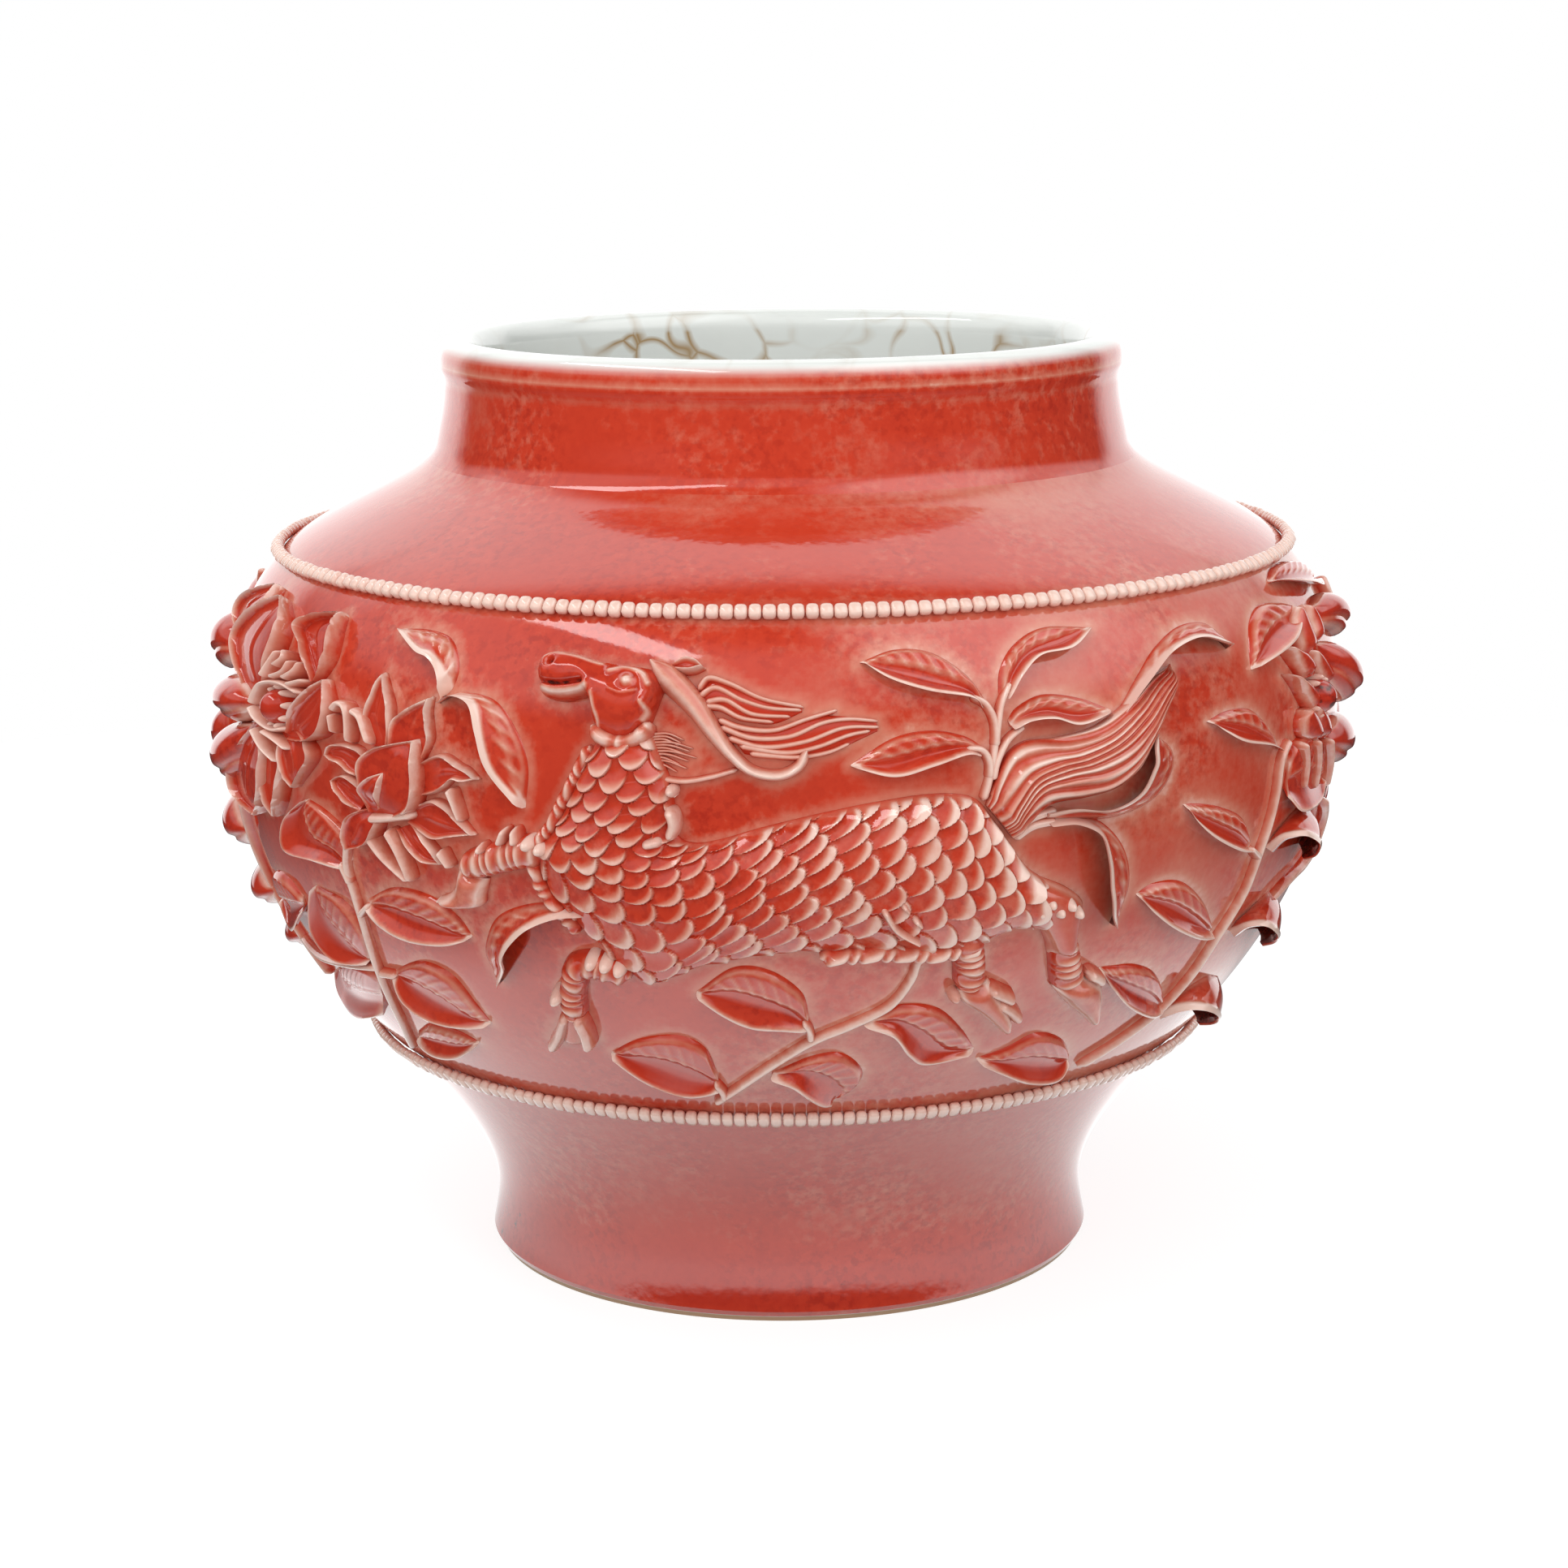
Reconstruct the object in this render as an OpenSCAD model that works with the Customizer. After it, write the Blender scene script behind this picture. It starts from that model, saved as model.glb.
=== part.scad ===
// Guan jar: a thrown storage jar with an applied frieze of qilin and flowering sprays.
// Millimetres, +Z up, origin at the centre of the foot on the table.
// Frieze points are [degrees round the jar from the front, percent of the way up the frieze],
// from 0 at the lower bead string to 100 at the upper one.

/* [Jar] */
// Height from the table to the rim
jar_h = 250; // [244:1:270]
// Thickness of the thrown wall
wall = 8; // [6:0.5:10]
// Height of the inside floor
floor_z = 18; // [15:0.5:24]
// Radius of the round inside corner at the floor
floor_round = 14; // [8:1:20]

/* [Foot] */
// Largest radius of the foot
foot_r = 83.3; // [80:0.1:88]
// Height of the bevel at the table
toe_h = 3; // [2:0.5:5]
// How far the bevel cuts in
toe_in = 1.8; // [0.5:0.1:3]
// Radius of the waist above the foot
waist_r = 81.7; // [79:0.1:84]
// Height of the waist
waist_z = 15; // [12:0.5:20]
// Width of the standing ring
ring_w = 14; // [10:0.5:20]
// Depth of the recess under the base
recess_h = 6; // [3:0.5:8]

/* [Belly] */
// How far the wall draws in from the belly to the lower bead string
lower_in = 37; // [32:0.5:42]
// Height of the lower bead string
lower_band_z = 66; // [60:0.5:72]
// Largest radius of the belly
belly_r = 150; // [146:0.5:158]
// Height of the largest radius
belly_z = 150; // [144:0.5:156]
// How far the wall draws in from the belly to the upper bead string
upper_in = 15; // [11:0.5:20]
// Height of the upper bead string
upper_band_z = 194.5; // [190:0.5:200]

/* [Neck] */
// Height of the joint between shoulder and neck
neck_z = 218; // [214:0.5:224]
// Thickness of the neck at its narrowest
neck_wall = 8.6; // [6:0.2:12]
// How far the shoulder spreads at the foot of the neck
cove_out = 10.4; // [8:0.2:13]
// Half height of the cove at the foot of the neck
cove_h = 4; // [3:0.5:5]
// Thickness of the rolled lip
lip_w = 9.5; // [7:0.1:13]
// Height of the rolled lip
lip_h = 6; // [4:0.5:8]
// Radius of the mouth
mouth_r = 82; // [79:0.5:84]

/* [Beads] */
// Spacing of the upper beads
upper_pitch = 3.32; // [2.8:0.02:4.5]
// Spacing of the lower beads
lower_pitch = 3; // [2.6:0.02:4.5]
// Length of a lower bead
lower_bead_l = 4.6; // [3.5:0.1:5.5]
// Gap between two beads
bead_gap = 0.16; // [0.1:0.02:0.4]

/* [Relief] */
// Slip between a sprig and the wall
lute = 0.1; // [0.1:0.01:0.4]
// Height of a leaf at its rim
leaf_rim = 3.6; // [2.5:0.1:5]
// Height of a leaf in its hollow
leaf_dish = 1.9; // [1:0.1:2.4]
// Height of the lifted edge of a curled leaf
curl_rim = 8; // [5:0.5:10]
// Height of a petal at its rim
petal_rim = 5; // [3:0.2:7]
// Height of a petal in its hollow
petal_dish = 3; // [1.5:0.1:3.5]
// Height of a full round petal
bulb_h = 8; // [6:0.5:10]
// Reach of a petal from the centre of a round flower
petal_l = 13; // [10:0.5:16]
// Radius of a flower heart
heart_r = 4.5; // [3:0.5:6]
// Width of a stem
stem_w = 3.4; // [2.5:0.1:4.5]
// Height of a stem
stem_h = 2.8; // [2:0.1:4]

/* [Qilin] */
// Height of the flank above the wall
flank_h = 7; // [5:0.5:9]
// Height of a scale above its row
scale_h = 0.8; // [0.4:0.1:1.2]
// Height of the head above the wall
head_h = 8; // [6:0.5:10]
// Radius of the eye
eye_r = 1.6; // [1.2:0.1:2]
// Height of a leg above the wall
leg_h = 6; // [4:0.5:8]
// Width of a leg where it joins the body
leg_w = 8.5; // [7:0.5:11]
// Width of the thigh of the far hind leg
thigh_w = 11; // [9:0.5:14]
// Width of a leg at its hoof
hoof_w = 6.5; // [5:0.5:8]
// Width of the horn
horn_w = 3.4; // [2.5:0.1:4.5]
// Height of the horn
horn_h = 5.5; // [4:0.5:8]
// Height of mane and tail
lock_h = 5.5; // [4:0.5:8]
// Depth of the grooves between strands
groove_h = 1.4; // [0.6:0.1:2]

/* [Hidden] */

// Colours of the glaze and of the edges where it breaks pale
red = "#a8301c";
pale = "#d99a88";

// Radii and bead sizes that follow from the sizes above
lower_band_r = belly_r - lower_in;
upper_band_r = belly_r - upper_in;
neck_r = mouth_r + neck_wall;
lip_r = mouth_r + lip_w;
upper_bead_r = (upper_pitch - bead_gap) / 2;
lower_bead_r = (lower_pitch - bead_gap) / 2;

// Frieze points of the centres of the round flowers
edge_centre = [-61.5, 75];
right_centre = [71, 76.6];
// Millimetres in one percent of the frieze
frieze_mm = (upper_band_z - lower_band_z) / 100;
// Steps of the thrown profile, of its slopes and of its round corners
profile_step = 2.5;
slope_step = 0.5;
arc_step = 15;
// Rows along a leaf, a petal, a curled leaf, a leg, a stem, a lock, the tail, the head and the flank
leaf_rows = 5;
petal_rows = 3;
curl_rows = 6;
leg_rows = 6;
stem_rows = 8;
lock_rows = 5;
tail_rows = 9;
head_rows = 10;
flank_rows = 22;
// Columns across a full petal, the head and the flank, and strands in a lock and in the tail
bulb_cols = 4;
head_cols = 7;
flank_cols = 9;
lock_strands = 3;
tail_strands = 5;
// Share of an edge that is kept clear of its sharp tip
tip_trim = 0.06;
// Height of a leaf at its base, as a share of its middle, and how far the middle sits to the base
blade_base = 0.55;
blade_lean = 0.8;
// Where the hollow of a leaf starts, as a share of its width
hollow_at = 0.28;
// Heights at the sides and shoulders of a strip, a lock and a rounded body, as shares of the crown
strip_side = 0.35;
strip_shoulder = 0.9;
lock_side = 0.5;
round_side = 0.3;
// How much a leg, a horn or a stem changes from its first end to its last
leg_drop = 0.7;
horn_drop = 0.7;
stem_swell = 1.3;
// Half width of a round flower's petal at its base and tip, as shares of its turn
petal_base = 0.45;
petal_tip = 0.09;
// Petals of a round flower, the places of their edge points and their gap to the heart
round_petals = 8;
petal_steps = [0, 0.6, 1];
heart_gap = 1;
// How much higher the cup of the open flower stands than its petals
cup_rise = 1.4;
// Slopes of the wall, radius over height, at the knots of the profile
foot_slope = -0.2;
lower_band_slope = 0.9;
upper_band_slope = -0.95;
shoulder_slope = -1.75;
neck_slope = -0.2;
// Share of the cove that is left where the neck begins
cove_left = 0.25;

// Knots of the outside: height, radius, slope below, slope above
KNOTS = [
    [toe_h, foot_r, 0, foot_slope],
    [waist_z, waist_r, 0, 0],
    [lower_band_z, lower_band_r, lower_band_slope, lower_band_slope],
    [belly_z, belly_r, 0, 0],
    [upper_band_z, upper_band_r, upper_band_slope, upper_band_slope],
    [neck_z - cove_h, neck_r + cove_out, shoulder_slope, shoulder_slope],
    [neck_z + cove_h, neck_r + cove_out * cove_left, neck_slope, neck_slope],
    [jar_h - 2 * lip_h, neck_r, 0, 0],
    [jar_h - lip_h, lip_r, 0, 0]
];

// Cubic through two radii with given end slopes
function cubic(t, a, ma, b, mb) =
    a * (1 + 2 * t) * (1 - t) * (1 - t) + ma * t * (1 - t) * (1 - t)
    + b * t * t * (3 - 2 * t) + mb * t * t * (t - 1);
function span_r(z, a, b) =
    let (d = b[0] - a[0])
    cubic((z - a[0]) / d, a[1], a[3] * d, b[1], b[2] * d);
function outer_r(z, i = 0) =
    z < toe_h ? foot_r - toe_in * (1 - z / toe_h)
    : i >= len(KNOTS) - 2 || z <= KNOTS[i + 1][0] ? span_r(z, KNOTS[i], KNOTS[i + 1])
    : outer_r(z, i + 1);
function slope(z) = (outer_r(z + slope_step) - outer_r(z - slope_step)) / (2 * slope_step);
function shell_r(z) = outer_r(z) - wall * sqrt(1 + slope(z) * slope(z));
function inner_r(z) =
    z >= neck_z ? mouth_r
    : z > belly_z ? max(mouth_r, shell_r(z))
    : shell_r(z);

// Heights from one level to another in even steps
function levels(z0, z1) =
    let (n = ceil((z1 - z0) / profile_step))
    [for (i = [0:n]) z0 + (z1 - z0) * i / n];
function reversed(v) = [for (i = [len(v) - 1:-1:0]) v[i]];
function outside(z0, z1) = [for (z = levels(z0, z1)) [outer_r(z), z]];
function inside(z0, z1) = [for (z = reversed(levels(z0, z1))) [inner_r(z), z]];

// Height of a frieze point
function frieze_z(v) = lower_band_z + v * frieze_mm;
// Point that stands h proud of the wall at a frieze point
function proud(p, h) =
    let (z = frieze_z(p[1]), s = slope(z), n = sqrt(1 + s * s), r = outer_r(z) + h / n)
    [r * sin(p[0]), -r * cos(p[0]), z - h * s / n];

// Smooth curve through a list of frieze points, t from 0 to 1
function on_curve(v, t) =
    let (
        n = len(v) - 1,
        i = min(floor(t * n), n - 1),
        f = t * n - i,
        b = v[i],
        c = v[i + 1],
        a = i > 0 ? v[i - 1] : 2 * b - c,
        d = i + 2 <= n ? v[i + 2] : 2 * c - b
    )
    b + 0.5 * f * (c - a + f * (2 * a - 5 * b + 4 * c - d + f * (3 * b - a - 3 * c + d)));

// Edge of a raised strip: a path moved sideways by w millimetres
function beside(v, t, w) =
    let (
        p = on_curve(v, t),
        r = outer_r(frieze_z(p[1])) * PI / 180,
        e = 0.02,
        q = on_curve(v, min(t + e, 1)) - on_curve(v, max(t - e, 0)),
        x = q[0] * r,
        y = q[1] * frieze_mm,
        l = sqrt(x * x + y * y)
    )
    [p[0] - w * y / l / r, p[1] + w * x / l / frieze_mm];

// Twice the area that rows of points sweep, negative where they run clockwise seen from outside
function sweep(rows) =
    let (m = len(rows[0]) - 1)
    [
        for (i = [0:len(rows) - 2])
            let (u = rows[i + 1][0][0] - rows[i][m][0], v = rows[i + 1][m][0] - rows[i][0][0])
            u[0] * v[1] - u[1] * v[0]
    ] * [for (i = [0:len(rows) - 2]) 1];

// Solid on the wall: rows of points [frieze point, height], closed by a back that follows the wall
module on_wall(drawn_rows) {
    rows = sweep(drawn_rows) < 0 ? drawn_rows : [for (row = drawn_rows) reversed(row)];
    n = len(rows);
    m = len(rows[0]);
    top = [for (row = rows) for (q = row) proud(q[0], lute + q[1])];
    back = [for (row = rows) for (q = row) proud(q[0], lute)];
    k = n * m;
    faces = [
        for (i = [0:n - 2]) for (j = [0:m - 2]) let (a = i * m + j) each [
            [a, a + m, a + m + 1],
            [a, a + m + 1, a + 1],
            [k + a, k + a + m + 1, k + a + m],
            [k + a, k + a + 1, k + a + m + 1]
        ],
        for (i = [0:n - 2]) let (a = i * m, b = a + m - 1) each [
            [a, k + a, k + a + m],
            [a, k + a + m, a + m],
            [b, k + b + m, k + b],
            [b, b + m, k + b + m]
        ],
        for (j = [0:m - 2]) let (b = (n - 1) * m + j) each [
            [j, j + 1, k + j + 1],
            [j, k + j + 1, k + j],
            [b, k + b + 1, b + 1],
            [b, k + b, k + b + 1]
        ]
    ];
    polyhedron(concat(top, back), faces);
}

// Place of a row along a blade, clear of its tips
function along(i, rows) = tip_trim + (1 - 2 * tip_trim) * i / (rows - 1);
// Rise and fall of a blade along its length, and of a rounded body across its width
function blade(t) = blade_base + (1 - blade_base) * sin(180 * pow(t, blade_lean));
function rounded(s) = round_side + (1 - round_side) * sqrt(sin(180 * s));

// Dished leaf between two edges, each from base to tip, with its own rim height
module leaf(a, b, rim_a = leaf_rim, rim_b = leaf_rim, dish = leaf_dish, rows = leaf_rows) {
    on_wall([
        for (i = [0:rows - 1])
            let (t = along(i, rows), p = on_curve(a, t), q = on_curve(b, t), f = blade(t))
            [
                [p, rim_a * f],
                [p + (q - p) * hollow_at, dish * f],
                [q + (p - q) * hollow_at, dish * f],
                [q, rim_b * f]
            ]
    ]);
}

module petal(a, b) {
    leaf(a, b, petal_rim, petal_rim, petal_dish, petal_rows);
}

// Curled leaf: its second edge stands well off the wall
module curl(a, b) {
    leaf(a, b, leaf_rim, curl_rim, leaf_rim, curl_rows);
}

// Full petal, rounded all over
module bulb(a, b) {
    on_wall([
        for (i = [0:leaf_rows - 1])
            let (t = along(i, leaf_rows), p = on_curve(a, t), q = on_curve(b, t), f = blade(t))
            [
                for (j = [0:bulb_cols - 1])
                    let (s = j / (bulb_cols - 1))
                    [p + (q - p) * s, bulb_h * f * rounded(s)]
            ]
    ]);
}

// Round-backed strip along a path, width and height given at both ends
module strip(path, w0, w1, h0, h1, rows) {
    on_wall([
        for (i = [0:rows - 1])
            let (t = i / (rows - 1), w = (w0 + (w1 - w0) * t) / 2, h = h0 + (h1 - h0) * t)
            [
                [beside(path, t, w), h * strip_side],
                [beside(path, t, w / 2), h * strip_shoulder],
                [beside(path, t, -w / 2), h * strip_shoulder],
                [beside(path, t, -w), h * strip_side]
            ]
    ]);
}

module stem(path, swell = 1) {
    strip(path, stem_w, stem_w * swell, stem_h, stem_h, stem_rows);
}

module leg(path, w) {
    strip(path, w, hoof_w, leg_h, leg_h * leg_drop, leg_rows);
}

// Fluted lock of hair between two edges
module lock(a, b, strands, rows) {
    on_wall([
        for (i = [0:rows - 1])
            let (t = along(i, rows), p = on_curve(a, t), q = on_curve(b, t))
            [
                for (j = [0:2 * strands])
                    let (s = j / (2 * strands), crown = lock_side + (1 - lock_side) * sin(180 * s))
                    [p + (q - p) * s, lock_h * crown - groove_h * (1 - j % 2)]
            ]
    ]);
}

// Rounded body between two edges, with staggered scales standing off its rows
module flank(a, b, rows, cols, h, scales) {
    on_wall([
        for (i = [0:rows - 1])
            let (t = i / (rows - 1), p = on_curve(a, t), q = on_curve(b, t))
            [
                for (j = [0:cols - 1])
                    let (s = j / (cols - 1))
                    [p + (q - p) * s, h * rounded(s) + scales * ((i + j) % 2)]
            ]
    ]);
}

// Ring of petals round a flower centre
module rosette(centre, count) {
    turn = 360 / count;
    r0 = heart_r + heart_gap;
    edge = [
        for (f = petal_steps)
            [r0 + (petal_l - r0) * f, turn * (petal_base + (petal_tip - petal_base) * f)]
    ];
    for (k = [0:count - 1])
        petal(
            [for (e = edge) ray(centre, k * turn - e[1], e[0])],
            [for (e = edge) ray(centre, k * turn + e[1], e[0])]
        );
}
// Frieze point at a distance from a centre, in a direction from upright
function ray(c, turned, r) =
    [c[0] + r * sin(turned) * 180 / PI / outer_r(frieze_z(c[1])), c[1] + r * cos(turned) / frieze_mm];

// Low dome that seats on the wall at a frieze point
module dome(p, r, h) {
    translate(proud(p, lute))
        rotate([0, 0, p[0]])
            rotate([90 + atan(slope(frieze_z(p[1]))), 0, 0])
                rotate_extrude()
                    polygon([
                        [0, 0],
                        [r, 0],
                        for (t = [0:arc_step:90]) [r * cos(t), h * (round_side + (1 - round_side) * sin(t))]
                    ]);
}

// Thrown sections, stacked on flat luting joints
module foot_section() {
    corner_r = inner_r(floor_z + floor_round) - floor_round;
    corner_z = floor_z + floor_round;
    ring_r = foot_r - toe_in - ring_w;
    color(red)
        rotate_extrude()
            polygon(concat(
                [[ring_r, 0]],
                outside(0, lower_band_z),
                inside(corner_z, lower_band_z),
                [
                    for (t = [90 - arc_step:-arc_step:0])
                        [corner_r + floor_round * sin(t), corner_z - floor_round * cos(t)]
                ],
                [[0, floor_z], [0, recess_h], [ring_r, recess_h]]
            ));
}

module ring_section(z0, z1) {
    rotate_extrude()
        polygon(concat(outside(z0, z1), inside(z0, z1)));
}

module lower_belly() {
    color(red) ring_section(lower_band_z, belly_z);
}

module upper_belly() {
    color(red) ring_section(belly_z, neck_z);
}

module neck() {
    lip_z = jar_h - lip_h;
    color(red)
        rotate_extrude()
            polygon(concat(
                outside(neck_z, lip_z),
                [
                    for (t = [arc_step:arc_step:180 - arc_step])
                        [mouth_r + lip_w / 2 * (1 + cos(t)), lip_z + lip_h * sin(t)]
                ],
                [[mouth_r, lip_z], [mouth_r, neck_z]]
            ));
}

// Even number of beads that fits round the wall at a height of the frieze
function bead_count(v, r, pitch) = 2 * floor(-PI * proud([0, v], lute + r)[1] / pitch);

// Round beads pressed on at the shoulder
module upper_bead_string() {
    count = bead_count(100, upper_bead_r, upper_pitch);
    color(pale)
        for (i = [0:count - 1])
            translate(proud([i * 360 / count, 100], lute + upper_bead_r))
                sphere(upper_bead_r, $fn = 24);
}

// Long beads pressed on above the foot
module lower_bead_string() {
    count = bead_count(0, lower_bead_r, lower_pitch);
    lean = atan(slope(lower_band_z));
    color(pale)
        for (i = [0:count - 1])
            translate(proud([i * 360 / count, 0], lute + lower_bead_r))
                rotate([0, 0, i * 360 / count])
                    rotate([lean, 0, 0])
                        cylinder(h = lower_bead_l, r = lower_bead_r, center = true, $fn = 24);
}

// Qilin, striding left with its head raised
module qilin_body() {
    back = [
        [-11.5, 77], [-10.3, 70.8], [-10, 64.6], [-9.5, 59.6], [-8, 60], [-5, 61.4], [-2, 63.8],
        [3, 65.8], [8, 67.4], [13, 68], [16.5, 67], [19, 64.6], [20.5, 61.8]
    ];
    belly = [
        [-17.3, 77], [-19.5, 70.8], [-21.5, 64.6], [-23.5, 57.6], [-22, 49.8], [-18.5, 40.4], [-14, 30],
        [-8.5, 35], [-2, 38.6], [5, 40.8], [11, 38.6], [16.5, 38.2], [21, 41.2]
    ];
    color(red) flank(back, belly, flank_rows, flank_cols, flank_h, scale_h);
}

module qilin_head() {
    crown = [
        [-24, 92.2], [-22.3, 94.2], [-19.5, 93.8], [-16.5, 93], [-14, 93], [-12, 92.6],
        [-10.8, 91], [-10.2, 88.8]
    ];
    jaw = [
        [-23.8, 88.4], [-22, 86.8], [-19.8, 86.6], [-17.8, 85.2], [-17, 81.8], [-15.4, 79],
        [-13.4, 79.6], [-11.9, 83.2]
    ];
    eye = [-14.4, 89.6];
    color(pale) {
        flank(crown, jaw, head_rows, head_cols, head_h, 0);
        translate(proud(eye, head_h)) sphere(eye_r, $fn = 24);
    }
}

module qilin_horn() {
    path = [
        [-9.4, 88.4], [-8, 84.8], [-6.5, 80.6], [-4.8, 76.2], [-2.6, 73.4], [0, 72.8], [2, 74.4],
        [2.2, 76]
    ];
    color(pale)
        strip(path, horn_w, horn_w * horn_drop, horn_h, horn_h * horn_drop, head_rows);
}

module qilin_mane() {
    color(pale) {
        lock(
            [[-7.6, 89.8], [-5.5, 90.6], [-3, 89.2], [0, 87.6], [2, 86.8]],
            [[-6.6, 86.8], [-5, 85.6], [-3, 84.4], [0, 84], [2, 84.8]],
            lock_strands,
            lock_rows
        );
        lock(
            [[-5.4, 83.6], [-3.5, 82.4], [0, 82.2], [4, 83.2], [8.3, 81.4]],
            [[-3.6, 77.8], [-2, 76.6], [0.5, 77.2], [4, 78.6], [8.3, 79.4]],
            lock_strands,
            lock_rows
        );
        lock(
            [[-10.8, 88], [-10.6, 83.2], [-8.6, 79], [-7, 75.4]],
            [[-11.6, 81.8], [-11.3, 78.2], [-10.2, 74.8], [-8.8, 72.2]],
            lock_strands,
            lock_rows
        );
    }
}

module qilin_tail() {
    upper = [
        [20.4, 66.2], [20.8, 70.8], [22.5, 74.8], [26, 77], [30, 77.4], [33, 80.6], [36, 85.2],
        [40.5, 87.6]
    ];
    lower = [
        [22.2, 64.2], [24.8, 66.2], [28.5, 66.8], [32.3, 68.8], [34.8, 72.8], [36.6, 77],
        [38.6, 80.6], [40.5, 82.8]
    ];
    color(pale) lock(upper, lower, tail_strands, tail_rows);
}

// Legs from the joint at the body to the hoof
module near_foreleg() {
    path = [
        [-16.6, 33], [-19, 34.6], [-21.3, 32.6], [-22.6, 26.4], [-23.4, 21], [-24.3, 16.8], [-25.8, 13.2]
    ];
    color(red) leg(path, leg_w);
}

module far_foreleg() {
    color(red) leg([[-24.6, 56.4], [-28, 56.4], [-31.3, 54.4], [-32.4, 49], [-34, 43.6]], leg_w);
}

module near_hind_leg() {
    color(red) leg([[17.6, 37], [17.9, 32.6], [18.8, 28], [21.2, 23.8], [23.8, 18.6]], leg_w);
}

module far_hind_leg() {
    color(red)
        leg([[24.2, 46.4], [26.8, 39.2], [28.3, 32.6], [30.3, 26.8], [32.8, 22.6], [34.4, 17.8]], thigh_w);
}

// Stems and blades of the spray behind the rump
module rump_stem() {
    color(pale) stem([[18.2, 68.8], [18.6, 73.2], [19, 77.8], [19.4, 82.4]]);
}

module rump_leaves() {
    color(red) {
        leaf(
            [[18.6, 84.8], [17, 89.4], [14, 93.4], [10.5, 94.2], [7, 92.2]],
            [[18, 83.2], [16.8, 85], [13, 86.4], [9.5, 88.8], [7, 92.2]]
        );
        leaf(
            [[17.8, 77], [16, 79], [13, 80.2], [9.5, 79], [5.7, 74.4]],
            [[17.6, 75], [16, 75.6], [13, 74], [9.5, 72.4], [5.7, 74.4]]
        );
        leaf(
            [[19.8, 84.8], [20.4, 89.8], [22.4, 93.8], [26, 96.2], [31.5, 95.4]],
            [[20.6, 84.4], [22, 88], [24.2, 90.8], [28, 91.8], [31.5, 95.4]]
        );
        leaf(
            [[20.5, 81], [21.6, 83.2], [24.3, 85], [28, 83.8], [31.5, 80.8]],
            [[20.7, 79.2], [22, 80.4], [24.3, 80.4], [27.2, 79], [31.5, 80.8]]
        );
    }
}

module tail_curls() {
    color(red) {
        curl(
            [[34.6, 85.6], [36.8, 89.4], [40, 93], [44.5, 94.8], [48, 92.6], [48.6, 88.4]],
            [[36, 86.8], [38, 89.4], [41, 91], [44.3, 91.4], [46.6, 90.2], [48.6, 88.4]]
        );
        curl(
            [[24, 62.6], [28, 62], [33, 62.2], [37.4, 64.6], [39, 70], [38, 75.4]],
            [[24.6, 64.2], [28.5, 63.8], [32.6, 64.8], [35.2, 67.4], [36.2, 70.8], [38, 75.4]]
        );
        curl(
            [[25, 61.8], [28.4, 61.4], [31.8, 58.8], [33.8, 53.6], [34.5, 47.4], [33, 39]],
            [[25, 60.8], [27.8, 60], [29.6, 56.4], [30.2, 50.6], [31, 44.4], [33, 39]]
        );
    }
}

module chest_curl() {
    color(red)
        curl(
            [[-20.2, 46], [-23.5, 46.6], [-27.5, 45], [-31, 39.6], [-32.5, 33.4], [-31.7, 27.2]],
            [[-20.4, 44.2], [-23.2, 43.8], [-26, 41.2], [-28.3, 37], [-29.7, 32.2], [-31.7, 27.2]]
        );
}

// Low spray under the belly
module low_stem() {
    path = [
        [12.6, 35.4], [11.8, 31.6], [9.5, 26.4], [6, 22.8], [2, 19.8], [-1.5, 16.8], [-5.5, 11.2],
        [-8.8, 4.2]
    ];
    color(pale) stem(path);
}

module low_leaves() {
    color(red) {
        leaf(
            [[2, 23.8], [1.4, 28.8], [-1, 32.6], [-4.5, 33.4], [-9.3, 28.4]],
            [[1.6, 22.2], [-1.2, 22.2], [-4.5, 23.4], [-7, 26], [-9.3, 28.4]]
        );
        leaf(
            [[-8.6, 10.2], [-9, 14], [-11, 17.8], [-14.5, 17.6], [-20.5, 12]],
            [[-9, 7.8], [-10.5, 6], [-13.5, 5], [-16.5, 7.4], [-20.5, 12]]
        );
        leaf(
            [[-1.8, 11.4], [2, 13.6], [5.5, 14], [8.3, 9.4], [5.3, 3.8]],
            [[-1.6, 9.8], [0.4, 8.8], [2.4, 6.4], [4, 4.6], [5.3, 3.8]]
        );
        leaf(
            [[10, 23.6], [12.8, 24.4], [16.5, 22.2], [19.2, 17.2], [18.6, 12.2]],
            [[9.8, 21.4], [11.8, 20], [14, 16.8], [15.4, 14], [18.6, 12.2]]
        );
    }
}

// Left spray with its open flower
module left_stem() {
    path = [
        [-46.5, 51.4], [-47.6, 45.2], [-48.8, 37.4], [-49.8, 29.6], [-50, 21.8], [-51, 15.6], [-53, 9.4],
        [-55.5, 4.6]
    ];
    color(pale) stem(path, stem_swell);
}

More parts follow.
